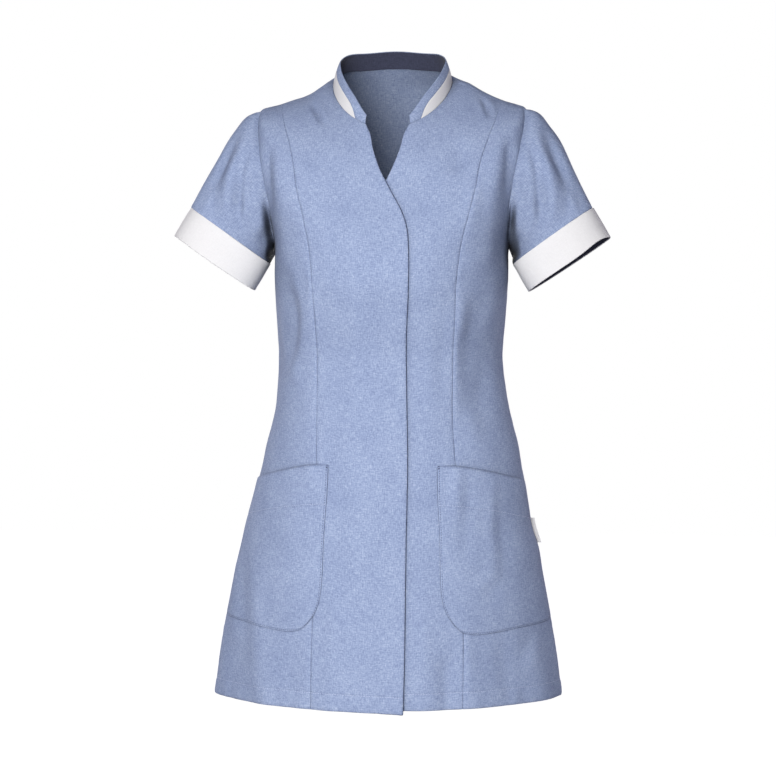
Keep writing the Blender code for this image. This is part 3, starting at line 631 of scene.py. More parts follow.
def surface(places, side=1, lift=0.0):
    """Points on the outside of the cloth and their normals, at (angle, s) places."""
    angle = places[..., 0]
    s = places[..., 1]
    base = form(angle, s)
    normal = outward(angle, s)
    mirror = np.array((side, 1, 1))
    rise = fold_rise(base, side, LARGE_FOLDS, 0.0)
    rise += fold_rise(base, side, SMALL_FOLDS, FLANKS)
    rise += waves(base * mirror) * smooth(s / 0.03)
    points = (base + normal * (rise + lift)[..., None]) * mirror
    points[..., 1] += armpit_tuck(points)
    points[..., 2] += shoulder_rise(places, points[..., 0])
    outside = smooth((np.abs(points[..., 0]) - 0.07) / 0.07) * np.sign(points[..., 0])
    points[..., 0] += outside * by_side(SIDE_LINE, points[..., 2], points[..., 0])
    return points, normal * mirror


def angle_at(x, s):
    """The front angle at which the form has this x."""
    share = np.clip(x / ring("half_width", s), -1, 1)
    return np.degrees(np.arcsin(np.sign(share) * np.abs(share) ** (1 / ring("round_x", s))))


def line(table, count, last=None):
    """Places evenly spread by length along an (s, x) table, and on to a last place."""
    t = np.linspace(0, 1, 300)
    way = np.linspace(0, 1, len(table))
    s = along(way, table[:, 0], t)
    x = along(way, table[:, 1], t)
    places = np.stack([angle_at(x, s), s], axis=-1)
    if last is not None:
        places = joined(places, straight(places[-1], last, 80))
    return spread(places, count)


def spread(places, count):
    """Places evenly spread by length along a finely given line on the form."""
    points = form(places[:, 0], places[:, 1])
    length = np.concatenate([[0], np.cumsum(np.linalg.norm(np.diff(points, axis=0), axis=1))])
    at = np.linspace(0, length[-1], count + 1)
    return read_off(at, length, places)


def down(table, first_s, last_s, heights):
    """Places on a seam given as an (s, x) table, at the wanted heights."""
    s = np.linspace(first_s, last_s, SEARCH_POINTS)
    angle = angle_at(look_up(table, 1, s), s)
    z = form(angle, s)[:, 2]
    return read_off(-heights, -z, np.stack([angle, s], axis=-1))


def straight(first, last, count):
    """Places evenly spread between two."""
    return np.linspace(np.array(first), np.array(last), count + 1)


def joined(*lines):
    """One line of places from several that meet end to end."""
    return np.concatenate([lines[0]] + [part[1:] for part in lines[1:]])


def row_heights(top_z, armpit_z):
    """Heights of the rows down a seam, from its top past the armpit's level to the hem."""
    upper = np.linspace(top_z, armpit_z, ARMHOLE_ROWS + 1)
    lower = np.linspace(armpit_z, HEM_Z, BODY_ROWS + 1)
    return np.concatenate([upper, lower[1:]])


def patch(top, bottom, left, right, top_share, top_reach=4.0, middle_s=None):
    """A grid of places whose edges are the four lines; the top's shape fades out down top_share."""
    u = np.linspace(0, 1, len(top))[None, :, None]
    v = np.linspace(0, 1, len(left))[:, None, None]
    rows = (1 - u) * left[:, None] + u * right[:, None]
    if middle_s is not None:
        inside = smooth(np.minimum(u, 1 - u)[..., 0] / 0.24)
        rows[..., 1] = (1 - inside) * rows[..., 1] + inside * middle_s[:, None]
    from_top = np.clip(1 - v / top_share, 0, 1) ** top_reach
    return rows + from_top * (top - rows[0]) + v ** 3 * (bottom - rows[-1])


def graded(count, length, first=(), last=()):
    """Shares from 0 to 1, even but for extra ones at distances from the two ends."""
    even = np.linspace(0, 1, count + 1)
    near = np.array(first) / length
    far = 1 - np.array(last) / length
    extra = np.concatenate([near, far])
    keep = [t for t in even if t in (0.0, 1.0) or not np.any(np.abs(extra - t) < 0.35 / count)]
    return np.sort(np.concatenate([keep, extra]))


def resampled(grid, row_shares, column_shares):
    """A grid read off at other shares of its rows and columns."""
    rows = np.linspace(0, 1, grid.shape[0])
    columns = np.linspace(0, 1, grid.shape[1])
    read_down = [read_off(row_shares, rows, column) for column in grid.transpose(1, 0, 2)]
    by_rows = np.stack(read_down, axis=1)
    return np.stack([read_off(column_shares, columns, row) for row in by_rows])


def beside_stitches(depth):
    """Distances of extra rows on either side of a row of stitches at this one."""
    return (depth - 0.0012, depth - 0.0005, depth + 0.0004, depth + 0.0012)


def run_along(points, axis):
    """Length from the first row or column to each point."""
    step = np.linalg.norm(np.diff(points, axis=axis), axis=-1)
    start = np.zeros_like(np.take(step, [0], axis=axis))
    return np.concatenate([start, np.cumsum(step, axis=axis)], axis=axis)


def edge_distances(points):
    """Distance of each point from the top, bottom, left and right edges of its panel."""
    from_top = run_along(points, 0)
    from_left = run_along(points, 1)
    return {"top": from_top, "bottom": from_top[-1:] - from_top,
            "left": from_left, "right": from_left[:, -1:] - from_left}


def seam_depth(points):
    """Share of the usual depth that a seam has: it is faint at the shoulder."""
    high = smooth((points[..., 2] + 0.20) / 0.08)
    return 1 - 0.92 * high * smooth((np.abs(points[..., 0]) - 0.125) / 0.02)


def seam_rise(points, edges, distance):
    """The cloth draws in at a seam, less so round the shoulder, and is drawn up along it."""
    rise = np.zeros(points.shape[:-1])
    pull = noise(points, 0.0075, 5.3)
    for edge in edges:
        d = distance[edge]
        depth = seam_depth(points) * (0.35 if edge == "top" else 1.0)
        rise -= depth * SEAM_GROOVE * bell(d, SEAM_GROOVE_REACH)
        rise -= depth * SEAM_DIP * bell(d, SEAM_DIP_REACH)
        rise += 0.00035 * pull * bell(d, 0.008) * smooth(d / 0.002)
    return rise


def turned_in(d, depth):
    """1 where a hem of this depth lies double, and 0 above it."""
    return smooth((depth + 0.001 - d) / 0.002)


def hem_rise(points, d, depth):
    """A turned-up hem: a row of stitches that draws the cloth in, and small puckers below it."""
    puckers = noise(points, (0.011, 0.011, 0.030), 9.1)
    rise = -0.00045 * bell(d - depth, STITCH_REACH)
    rise += 0.00030 * turned_in(d, depth)
    rise += 0.0010 * puckers * smooth((depth + 0.004 - d) / 0.01)
    rise -= 0.0008 * bell(d, 0.0016)
    return rise


def grid_normals(grid, rough):
    """Normals of a grid of points, on the side of the given rough ones."""
    n = unit(np.cross(np.gradient(grid, axis=0), np.gradient(grid, axis=1)))
    return n * np.sign((n * rough).sum(-1, keepdims=True) + 1e-9)


def rim_loops(index, closed):
    """The points round each open edge of a grid, in order."""
    if closed:
        return [index[0], index[-1][::-1]]
    return [np.concatenate([index[0, :-1], index[:-1, -1], index[-1, :0:-1], index[:0:-1, 0]])]


def shell(outer, inner, closed):
    """Points and faces of thin cloth between two grids, with rounded edges."""
    rows, columns = outer.shape[:2]
    count = rows * columns
    index = np.arange(count).reshape(rows, columns)
    rims = rim_loops(index, closed)
    if closed:
        index = np.concatenate([index, index[:, :1]], axis=1)
    cells = np.stack([index[:-1, :-1], index[:-1, 1:], index[1:, 1:], index[1:, :-1]], axis=-1)
    cells = cells.reshape(-1, 4)
    faces = [cells, cells[:, ::-1] + count]
    flat_outer = outer.reshape(-1, 3)
    flat_inner = inner.reshape(-1, 3)
    points = [flat_outer, flat_inner]
    toward = np.zeros((rows, columns, 3))
    toward[0] += unit(outer[0] - outer[1])
    toward[-1] += unit(outer[-1] - outer[-2])
    if not closed:
        toward[:, 0] += unit(outer[:, 0] - outer[:, 1])
        toward[:, -1] += unit(outer[:, -1] - outer[:, -2])
    toward = unit(toward).reshape(-1, 3)
    made = 2 * count
    for rim in rims:
        thick = np.linalg.norm(flat_outer[rim] - flat_inner[rim], axis=-1)
        middle = (flat_outer[rim] + flat_inner[rim]) / 2
        points.append(middle + toward[rim] * thick[:, None] / 2)
        edge = made + np.arange(len(rim))
        made += len(rim)
        next_rim = np.roll(rim, -1)
        next_edge = np.roll(edge, -1)
        faces.append(np.stack([next_rim, rim, edge, next_edge], axis=-1))
        faces.append(np.stack([next_edge, edge, rim + count, next_rim + count], axis=-1))
    return np.concatenate(points), np.concatenate(faces)


def add_mesh(name, points, faces, cloth, uv=None):
    """A piece from points and four-cornered faces, turned outward, that rides on the body."""
    a, b, c, d = (points[faces[:, k]] for k in range(4))
    volume = (a * np.cross(b, c)).sum() + (a * np.cross(c, d)).sum()
    if volume < 0:
        faces = faces[:, ::-1]
    mesh = bpy.data.meshes.new(name)
    mesh.from_pydata(points.tolist(), [], faces.tolist())
    if uv is not None:
        layer = mesh.uv_layers.new(name="weave")
        corner = np.empty(len(mesh.loops), dtype=np.int32)
        mesh.loops.foreach_get("vertex_index", corner)
        layer.data.foreach_set("uv", uv[corner].astype(np.float32).ravel())
    mesh.shade_smooth()
    mesh.materials.append(cloth)
    made = bpy.data.objects.new(name, mesh)
    bpy.context.scene.collection.objects.link(made)
    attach(made, "root")
    return made


def shell_uv(outer, closed, across_start, level_row):
    """Weave coordinates in metres: threads run down from across_start and level at one row."""
    middle = outer.shape[1] // 2
    if closed:
        from_back = run_along(np.roll(outer, middle, axis=1), 1)
        from_top = np.roll(from_back - from_back[:, middle:middle + 1], -middle, axis=1)
        round_it = np.broadcast_to(from_top.mean(axis=0), outer.shape[:2])
        centres = outer.mean(axis=1)
        axis = centres[-1] - centres[0]
        down_it = (outer - centres[-1]) @ (axis / np.linalg.norm(axis))
    else:
        round_it = run_along(outer, 1)
        if across_start is None:
            round_it = round_it - round_it[:, middle:middle + 1]
        else:
            round_it = round_it + across_start[:, None]
        down_it = run_along(outer, 0)
        down_it = down_it - down_it[level_row]
    flat = np.stack([round_it, down_it], axis=-1).reshape(-1, 2)
    index = np.arange(len(flat)).reshape(outer.shape[:2])
    return np.concatenate([flat, flat] + [flat[rim] for rim in rim_loops(index, closed)])


def add_cloth(node, outer, normal, thick, slot, closed=False, across_start=None, level_row=-1,
              ending="_cloth"):
    """A cut piece as thin cloth over its solid."""
    thick = np.broadcast_to(thick, outer.shape[:2])
    points, faces = shell(outer, outer - normal * thick[..., None], closed)
    uv = shell_uv(outer, closed, across_start, level_row)
    made = add_mesh(node + ending, points, faces, CLOTHS[slot], uv)
    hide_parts(node)
    return made


PANELS = {}


def add_panel(name, places, side, seams, hem=None, lift=0.0, extra=None):
    """A cut piece of the body; its grid is kept for the sewing."""
    outer, rough = surface(places, side, lift)
    distance = edge_distances(outer)
    rise = seam_rise(outer, seams, distance)
    thick = np.full(outer.shape[:2], CLOTH)
    if hem is not None:
        rise += hem_rise(outer, distance["bottom"], hem)
        thick += (DOUBLE - CLOTH) * turned_in(distance["bottom"], hem)
    if extra is not None:
        more_rise, more_thick = extra(distance)
        rise += more_rise
        thick += more_thick
    outer = outer + rough * rise[..., None]
    PANELS[name] = (outer, grid_normals(outer, rough), edge_distances(outer))
    across_start = None if name == "back" else outer[:, 0, 0] * side
    level_row = int(BODY_TOP_SHARE * len(outer))
    add_cloth(name, outer, rough, thick, "chambray", across_start=across_start,
              level_row=level_row)


def lap(places, side):
    """The overlapping right front stands out and the left front sinks in under it."""
    base = form(places[..., 0], places[..., 1])
    near = smooth((LAP_NONE_X - base[..., 0]) / (LAP_NONE_X - LAP_FULL_X))
    first, full = CLOSED_FROM_S
    return -side * LAP_RISE * near * smooth((places[..., 1] - first) / (full - first))


def tube_normals(rings, centre):
    """Normals of a tube's grid of points, away from the middle of each ring."""
    round_it = np.roll(rings, -1, axis=1) - np.roll(rings, 1, axis=1)
    n = unit(np.cross(np.gradient(rings, axis=0), round_it))
    if (n * (rings - centre[:, None])).sum() < 0:
        n = -n
    return n


def cuff_ring(outer, inner, half_depth, angles):
    """An oval between its outer and inner ends, front side first."""
    outer = np.array((outer[0], SLEEVE_CENTRE_Y, outer[1]))
    inner = np.array((inner[0], SLEEVE_CENTRE_Y, inner[1]))
    centre = (outer + inner) / 2
    depth = np.array((0, -half_depth, 0))
    across = np.sin(angles)
    across = np.sign(across) * np.abs(across) ** CUFF_FULLNESS
    return centre + (outer - centre) * np.cos(angles)[:, None] + depth * across[:, None]


def sleeve_fold_rise(degrees, share, folds, flanks):
    """How far folds lift the cloth of a sleeve."""
    rise = np.zeros((len(share), len(degrees)))
    t = share[:, None]
    for middle, first, last, half_width, height, turn in folds:
        off = (degrees[None] - middle - turn * t + 180) % 360 - 180
        fade = smooth((t - first) / SLEEVE_FOLD_FADE) * smooth((last - t) / SLEEVE_FOLD_FADE)
        rise += height * fold_shape(off / half_width, flanks) * fade
    return rise


def plain_sleeve(side, share):
    """Rows of points from the armhole to the cuff's seam, without folds, as on the left; the
    angle round the sleeve; and how low a place is, from 0 on top to 1 underneath."""
    count = TURN_POINTS // 2
    loop = joined(spread(FRONT_ARMHOLE, count), spread(BACK_ARMHOLE, count)[::-1])[:-1]
    start, normal = surface(loop, side)
    start = start - normal * ((SEAM_GROOVE + SEAM_DIP) * seam_depth(start))[:, None]
    start = start * np.array((side, 1, 1))
    turn = np.linspace(0, 2 * np.pi, len(loop), endpoint=False)
    low = (1 - np.cos(turn)) / 2
    leave = np.outer(1 - low, LEAVE_TOP) + np.outer(low, LEAVE_UNDER)
    leave[:, 1] = LEAVE_SPREAD * np.sin(turn)
    leave = unit(leave)
    end = cuff_ring(CUFF_SEAM_OUTER, CUFF_SEAM_INNER, CUFF_SEAM_HALF_DEPTH, turn)
    chord = np.linalg.norm(end - start, axis=1, keepdims=True)
    rows = []
    for t in share:
        a = (1 + 2 * t) * (1 - t) ** 2
        b = t * (1 - t) ** 2 * LEAVE_PULL
        c = t * t * (3 - 2 * t)
        d = t * t * (t - 1) * ARRIVE_PULL
        rows.append(a * start + b * chord * leave + c * end + d * chord * ARRIVE)
    return np.array(rows), turn, low


def tucked(grid, low, down_it, up_it, side):
    """A sleeve with its inner line folded back under the arm and drawn in at the armpit."""
    first = TUCK_FROM[side] + 0.06 * (1 - smooth(up_it / 0.030))
    inner = smooth((low - first) / (1 - first))
    beside = smooth((low - 0.58) / 0.25) * (1 - inner)
    beside = beside * bell(down_it - 0.0065, 0.0062) * smooth(down_it / 0.004)
    off = grid[..., 1] - SLEEVE_CENTRE_Y
    inner = inner * smooth((TUCK_TOP[side] - grid[..., 2]) / 0.030) * smooth(up_it / 0.014)
    at_cuff, above = INNER_SHIFTS[side]
    grid[..., 0] += inner * (at_cuff + (above - at_cuff) * smooth((up_it - 0.012) / 0.016))
    behind = np.maximum(grid[..., 1].max(axis=1, keepdims=True) - 0.006, grid[..., 1])
    grid[..., 1] = np.minimum(grid[..., 1] + SLEEVE_TUCK[side] * inner, behind)
    grid[..., 1] -= SEAM_TUCK * beside * np.tanh(off / 0.015)
    return grid


def sleeve_grid(side, share):
    """Rows of points on the outside of a sleeve, from the armhole to the cuff's seam."""
    mirror = np.array((side, 1, 1))
    grid, turn, low = plain_sleeve(side, share)
    degrees = np.degrees(turn)
    down_it = run_along(grid, 0)
    up_it = down_it[-1:] - down_it
    rise = sleeve_fold_rise(degrees, share, LARGE_SLEEVE_FOLDS, 0.0)
    rise += sleeve_fold_rise(degrees, share, SMALL_SLEEVE_FOLDS, FLANKS)
    rise += waves(grid * mirror) * smooth(down_it / 0.03)
    for middle, reach, height in CAP_RISES[side]:
        rise += height * bell(down_it - middle, reach) * (1 - smooth(low / 0.45))
    pull = noise(grid * mirror, 0.0085, 2.7)
    rise += 0.00045 * pull * bell(down_it, 0.011) * smooth(down_it / 0.003)
    rise -= 0.0003 * bell(up_it, 0.0014)
    rise += 0.00030 * pull * bell(up_it, 0.008)
    rise *= smooth(down_it / 0.006)
    grid = grid + tube_normals(grid, grid.mean(axis=1)) * rise[..., None]
    return tucked(grid, low, down_it, up_it, side) * mirror


def add_tube(node, grid, thick, slot, sink=0.0):
    """A piece that runs all the way round, with its outside sunk in by an amount."""
    normal = tube_normals(grid, grid.mean(axis=1))
    sink = np.broadcast_to(sink, grid.shape[:2])
    add_cloth(node, grid - normal * sink[..., None], normal, thick, slot, closed=True)


def cuff_grid(side, share):
    """Rows of points down a cuff, at shares of its height."""
    turn = np.linspace(0, 2 * np.pi, TURN_POINTS, endpoint=False)
    top = cuff_ring(CUFF_SEAM_OUTER, CUFF_SEAM_INNER, CUFF_SEAM_HALF_DEPTH, turn)
    bottom = cuff_ring(CUFF_EDGE_OUTER, CUFF_EDGE_INNER, CUFF_EDGE_HALF_DEPTH, turn)
    t = np.asarray(share)[:, None, None]
    lift = CUFF_EDGE_LIFT[side] * bell(turn - 0.75, 0.45)
    bottom = bottom + (top - bottom) * lift[:, None]
    return (top + (bottom - top) * t) * np.array((side, 1, 1))


def collar_grid(angles, low, high, rows, sink):
    """Outer grid of a band of the collar and its normals, between two heights at each angle."""
    base = form(angles, np.zeros(len(angles)))
    inward = np.array((0.0, COLLAR_AXIS_Y, 0.0)) - base
    inward[:, 2] = 0
    inward = unit(inward)
    lean = np.radians(COLLAR_LEAN)
    up = np.array((0.0, 0.0, 1.0))
    stand = inward * np.sin(lean) + up * np.cos(lean)
    through = inward * np.cos(lean) - up * np.sin(lean)
    share = np.linspace(1, 0, rows + 1)[:, None]
    height = low[None] + (high - low)[None] * share
    whole = look_up(COLLAR, 1, from_front(angles))
    round_out = COLLAR_BULGE * 4 * (height / whole) * (1 - height / whole)
    outer = base[None] + stand[None] * height[..., None]
    outer = outer + through[None] * (sink - round_out)[..., None]
    return outer, -np.broadcast_to(through, outer.shape)


def add_collar_part(node, angles, low, high, rows, thick, slot, sink=0.0, edge="top", dip=0.0):
    """A band of the collar, sunk in by an amount and drawn in along one edge."""
    outer, normal = collar_grid(angles, low, high, rows, sink)
    draw = dip * bell(edge_distances(outer)[edge], COLLAR_SEAM_REACH)
    add_cloth(node, outer - normal * draw[..., None], normal, thick, slot)


def stitches(name, lines, length, gap, width, rise, thread):
    """Separate stitches along lines of (points, normals)."""
    turn = np.linspace(0, 2 * np.pi, STITCH_SIDES, endpoint=False)
    points = []
    faces = []
    for path, normals in lines:
        run = run_along(path, 0)
        count = max(1, int(run[-1] / (length + gap)))
        middle = (np.arange(count) + 0.5) * run[-1] / count
        first = read_off(middle - length / 2, run, path)
        last = read_off(middle + length / 2, run, path)
        centre = (first + last) / 2
        ahead = unit(last - first)
        across = unit(np.cross(read_off(middle, run, normals), ahead))
        up = np.cross(ahead, across)
        for k in range(count):
            start = len(points)
            for where, thick, high in STITCH_RINGS:
                at = centre[k] + ahead[k] * where * length / 2 + up[k] * high * rise
                for angle in turn:
                    points.append(at + thick * width / 2 * (across[k] * np.cos(angle)
                                                            + 0.7 * up[k] * np.sin(angle)))
            for r in range(len(STITCH_RINGS) - 1):
                for j in range(STITCH_SIDES):
                    a = start + r * STITCH_SIDES + j
                    b = start + r * STITCH_SIDES + (j + 1) % STITCH_SIDES
                    faces.append((a, b, b + STITCH_SIDES, a + STITCH_SIDES))
            for base in (start, start + (len(STITCH_RINGS) - 1) * STITCH_SIDES):
                faces.append((base, base + 1, base + 2, base + 3))
                faces.append((base, base + 3, base + 4, base + 5))
    made = add_mesh(name, np.array(points), np.array(faces), thread)
    return made


def parallel(panel, edge, distance, lift=0.0, last=1.0):
    """A line on a panel at a distance from one of its edges, over a share of its length."""
    outer, normal, distances = PANELS[panel]
    d = distances[edge]
    if edge in ("left", "right"):
        outer = outer.transpose(1, 0, 2)
        normal = normal.transpose(1, 0, 2)
        d = d.T
    if edge in ("bottom", "right"):
        outer = outer[::-1]
        normal = normal[::-1]
        d = d[::-1]
    columns = range(outer.shape[1])
    path = np.array([read_off(distance, d[:, j], outer[:, j]) for j in columns])
    facing = unit(np.array([read_off(distance, d[:, j], normal[:, j]) for j in columns]))
    run = run_along(path, 0)
    keep = run <= last * run[-1]
    return path[keep] + facing[keep] * lift, facing[keep]


# Materials

def new_material(name, roughness, sheen):
    """A plain material and its shader."""
    made = bpy.data.materials.new(name)
    made.use_nodes = True
    shader = made.node_tree.nodes["Principled BSDF"]
    shader.inputs["Roughness"].default_value = roughness
    shader.inputs["Specular IOR Level"].default_value = SPECULAR_LEVEL
    shader.inputs["Sheen Weight"].default_value = sheen
    shader.inputs["Sheen Roughness"].default_value = SHEEN_ROUGHNESS
    return made, shader


def put(tree, kind, inputs=None, **properties):
    """A node with its properties set and its inputs given or linked, by number or name."""
    made = tree.nodes.new(kind)
    for key, value in properties.items():
        setattr(made, key, value)
    for key, value in (inputs or {}).items():
        if isinstance(value, bpy.types.NodeSocket):
            tree.links.new(value, made.inputs[key])
        else:
            made.inputs[key].default_value = value
    return made


def calc(tree, operation, a, b=0.0):
    """The output of a maths node, given numbers or other nodes' outputs."""
    return put(tree, "ShaderNodeMath", {0: a, 1: b}, operation=operation).outputs[0]


def colour_ramp(tree, value, first, last, margin=0.0):
    """A ramp between two colours, with a margin at each end."""
    made = put(tree, "ShaderNodeValToRGB", {0: value})
    ends = made.color_ramp.elements
    ends[0].position = margin
    ends[0].color = (*first, 1.0)
    ends[1].position = 1.0 - margin
    ends[1].color = (*last, 1.0)
    return made


def stretched_noise(tree, uv, across, down_by, detail):
    """Noise with this many waves in a metre across and down the weave."""
    scaled = put(tree, "ShaderNodeVectorMath", {0: uv, 1: (across, down_by, 1.0)},
                 operation="MULTIPLY").outputs[0]
    settings = {"Vector": scaled, "Scale": 1.0, "Detail": detail, "Roughness": 0.6}
    return put(tree, "ShaderNodeTexNoise", settings, noise_dimensions="2D").outputs[0]


def weave_height(tree, uv, threads):
    """Plain weave, threads over and under each other, this many in a metre."""
    parts = put(tree, "ShaderNodeSeparateXYZ", {0: uv})
    u = calc(tree, "SINE", calc(tree, "MULTIPLY", parts.outputs[0], threads * np.pi))
    v = calc(tree, "SINE", calc(tree, "MULTIPLY", parts.outputs[1], threads * np.pi))
    return calc(tree, "MULTIPLY", u, v)


def yarn_cloth(name, colours, roughness, sheen, threads, bump, painted_shade_power):
    """Woven cloth: uneven yarns both ways, dark, middling and light, with the weave in relief, and
    painted shade that darkens its colour in hollows.
    """
    dark, mid, light = colours
    made, shader = new_material(name, roughness, sheen)
    tree = made.node_tree
    uv = put(tree, "ShaderNodeUVMap", uv_map="weave").outputs[0]
    parts = {}
    total = 0.5
    for kind, (across, down_by, detail, share) in YARN_NOISE.items():
        parts[kind] = stretched_noise(tree, uv, across, down_by, detail)
        centred = calc(tree, "SUBTRACT", parts[kind], 0.5)
        total = calc(tree, "ADD", calc(tree, "MULTIPLY", centred, share * YARN_CONTRAST), total)
    ramp = colour_ramp(tree, total, dark, light, RAMP_MARGIN)
    ramp.color_ramp.elements.new(0.5).color = (*mid, 1.0)
    # painted shade: the base colour is darkened where other surfaces are near, as in creases,
    # recesses and armpits
    hollow = put(tree, "ShaderNodeAmbientOcclusion", {"Distance": PAINTED_SHADE_REACH}, samples=8)
    shade = calc(tree, "POWER", hollow.outputs["AO"], painted_shade_power)
    painted_shade_colour = put(tree, "ShaderNodeVectorMath", {0: ramp.outputs[0], 3: shade}, operation="SCALE")
    tree.links.new(painted_shade_colour.outputs[0], shader.inputs["Base Color"])
    weave = weave_height(tree, uv, threads)
    uneven = calc(tree, "ADD", calc(tree, "MULTIPLY", parts["fine_warp"], 0.8),
                  calc(tree, "MULTIPLY", parts["fine_weft"], 0.8))
    height = calc(tree, "ADD", calc(tree, "MULTIPLY", weave, 0.25), uneven)
    raised = put(tree, "ShaderNodeBump",
                 {"Strength": bump, "Distance": BUMP_DISTANCE, "Height": height})
    tree.links.new(raised.outputs[0], shader.inputs["Normal"])
    return made


def thread_material(name, colour):
    """Sewing thread, a little uneven in colour."""
    made, shader = new_material(name, roughness=0.6, sheen=0.1)
    tree = made.node_tree
    place = put(tree, "ShaderNodeTexCoord").outputs["Object"]
    twist = put(tree, "ShaderNodeTexNoise", {"Scale": 900.0, "Vector": place})
    ramp = colour_ramp(tree, twist.outputs[0], [0.7 * c for c in colour],
                       [min(1.0, 1.25 * c) for c in colour])
    tree.links.new(ramp.outputs[0], shader.inputs["Base Color"])
    return made


def shades(colour, spread_by):
    """A darker shade of a colour, the colour and a lighter shade."""
    return [tuple(min(1.0, c * k) for c in colour) for k in (1 - spread_by, 1.0, 1 + spread_by)]


CLOTHS = {
    "chambray": yarn_cloth("chambray_yarns", (CHAMBRAY_DARK, CHAMBRAY_MID, CHAMBRAY_LIGHT),
                           roughness=0.88, sheen=0.03, threads=3600.0, bump=0.35,
                           painted_shade_power=0.85),
    "white_cloth": yarn_cloth("white_yarns", shades(WHITE, 0.05), roughness=0.85, sheen=0.06,
                              threads=4200.0, bump=0.08, painted_shade_power=0.03),
    "navy_cloth": yarn_cloth("navy_yarns", shades(NAVY, 0.35), roughness=0.85, sheen=0.10,
                             threads=4200.0, bump=0.30, painted_shade_power=0.30),
}
# the pale thread is partly a painted highlight on the hem's stitched ridge
pale_thread_and_highlight = thread_material("pale_thread_and_highlight", PALE_THREAD_AND_HIGHLIGHT)
# the dark thread is partly painted shade of the needle holes along the pocket edges
dark_thread_and_shade = thread_material("dark_thread_and_shade", DARK_THREAD_AND_SHADE)


# Seam lines as places on the form, on the +X side

def armhole(table):
    """Places evenly down the front or the back of the armhole."""
    share = np.linspace(0, 1, 600)
    places = np.stack([look_up(table, 2, share), look_up(table, 1, share)], axis=-1)
    return spread(places, ARMHOLE_ROWS)


FRONT_ARMHOLE = armhole(ARMHOLE_FRONT)
BACK_ARMHOLE = armhole(ARMHOLE_BACK)
side_seam = straight((90.0, ARMPIT_S), (90.0, HEM_S), BODY_ROWS)
front_side_edge = joined(FRONT_ARMHOLE, side_seam)
back_side_edge = joined(BACK_ARMHOLE, side_seam)

edge_top_z = form(FRONT_NECK_ANGLE, 0.0)[2]
princess_top_z = form(SHOULDER_SEAM_ANGLE, PRINCESS_TOP_S)[2]


def princess_seam(side):
    """The seam of one side, which hangs a little to the wearer's left below the waist."""
    first, full = SKIRT_SHIFT_S
    s = np.concatenate([PRINCESS[:, 0], np.linspace(0.48, 0.74, 14)])
    s = np.unique(np.round(s, 4))
    x = look_up(PRINCESS, 1, s)
    x = x + side * SKIRT_SHIFT * smooth((s - first) / (full - first))
    seam = down(np.stack([s, x], axis=-1), PRINCESS_TOP_S, HEM_S,
                row_heights(princess_top_z, PRINCESS_ARMPIT_Z))
    seam[0] = (SHOULDER_SEAM_ANGLE, PRINCESS_TOP_S)
    seam[-1, 1] = HEM_S
    return seam


front_edge = down(FRONT_EDGE, 0.0, HEM_S, row_heights(edge_top_z, EDGE_ARMPIT_Z))
front_edge[0] = (FRONT_NECK_ANGLE, 0.0)
front_edge[-1, 1] = HEM_S

neck_point = (SHOULDER_SEAM_ANGLE, 0.0)
princess_top = (SHOULDER_SEAM_ANGLE, PRINCESS_TOP_S)
shoulder_tip = (SHOULDER_SEAM_ANGLE, SHOULDER_TIP_S)
neck_front = straight((FRONT_NECK_ANGLE, 0.0), neck_point, 60)
inner_shoulder = straight(neck_point, princess_top, 40)
outer_shoulder = straight(princess_top, shoulder_tip, 60)
BODY_TOP_SHARE = ARMHOLE_ROWS / (ARMHOLE_ROWS + BODY_ROWS)
HEM_STEPS = HEM_EDGE_STEPS + beside_stitches(HEM_DEPTH)


def placket(side):
    """The front edge is folded double, and the right one stands off, more so at its corner."""
    def shape(distance):
        edge = distance["left"]
        low = smooth((PLACKET_CORNER - distance["bottom"]) / PLACKET_CORNER)
        below_neck = smooth((distance["top"] - 0.06) / 0.05)
        rise = side * -(PLACKET_RISE + CORNER_RISE * low) * bell(edge, 0.014) * below_neck
        rise = rise - 0.0005 * bell(edge, 0.0010)
        thick = (DOUBLE - CLOTH + 0.0002) * smooth((PLACKET_WIDTH - edge) / 0.004)
        return rise, thick + 0.0007 * smooth((0.006 - edge) / 0.004)
    return shape


# Fronts
centre_top = joined(neck_front, inner_shoulder)
hem_ramp = smooth(np.linspace(-3, 1, len(front_edge)))[:, None]
left_side_lift = np.array((0.0, -LEFT_SIDE_RISE)) * hem_ramp
for side, name in SIDES:
    drop = HEM_DROP[side]
    princess = princess_seam(side)
    side_edge = front_side_edge
    if side > 0:
        princess = princess - np.array((0.0, LEFT_SEAM_RISE)) * hem_ramp
        side_edge = front_side_edge + left_side_lift
    hem = straight(front_edge[-1], princess[-1], len(centre_top) - 1)
    edge = front_edge + np.array((0.0, drop)) * hem_ramp
    hem[:, 1] += drop * np.linspace(1, 0, len(hem)) ** 2
    places = patch(centre_top, hem, edge, princess, BODY_TOP_SHARE)
    rows = graded(len(edge) - 1, FRONT_LENGTH, SEAM_STEPS, HEM_STEPS)
    columns = graded(CENTRE_COLUMNS, CENTRE_WIDTH, SEAM_STEPS, SEAM_STEPS)
    places = resampled(places, rows, columns)
    add_panel("front_centre_" + name, places, side, ("top", "right"), HEM_DEPTH,
              lift=lap(places, side), extra=placket(side))
    hem = straight(princess[-1], side_edge[-1], len(outer_shoulder) - 1)
    places = patch(outer_shoulder, hem, princess, side_edge, BODY_TOP_SHARE)
    columns = graded(SIDE_COLUMNS, SIDE_WIDTH, SEAM_STEPS, SEAM_STEPS)
    places = resampled(places, rows, columns)
    add_panel("front_side_" + name, places, side, ("top", "left", "right"), HEM_DEPTH)

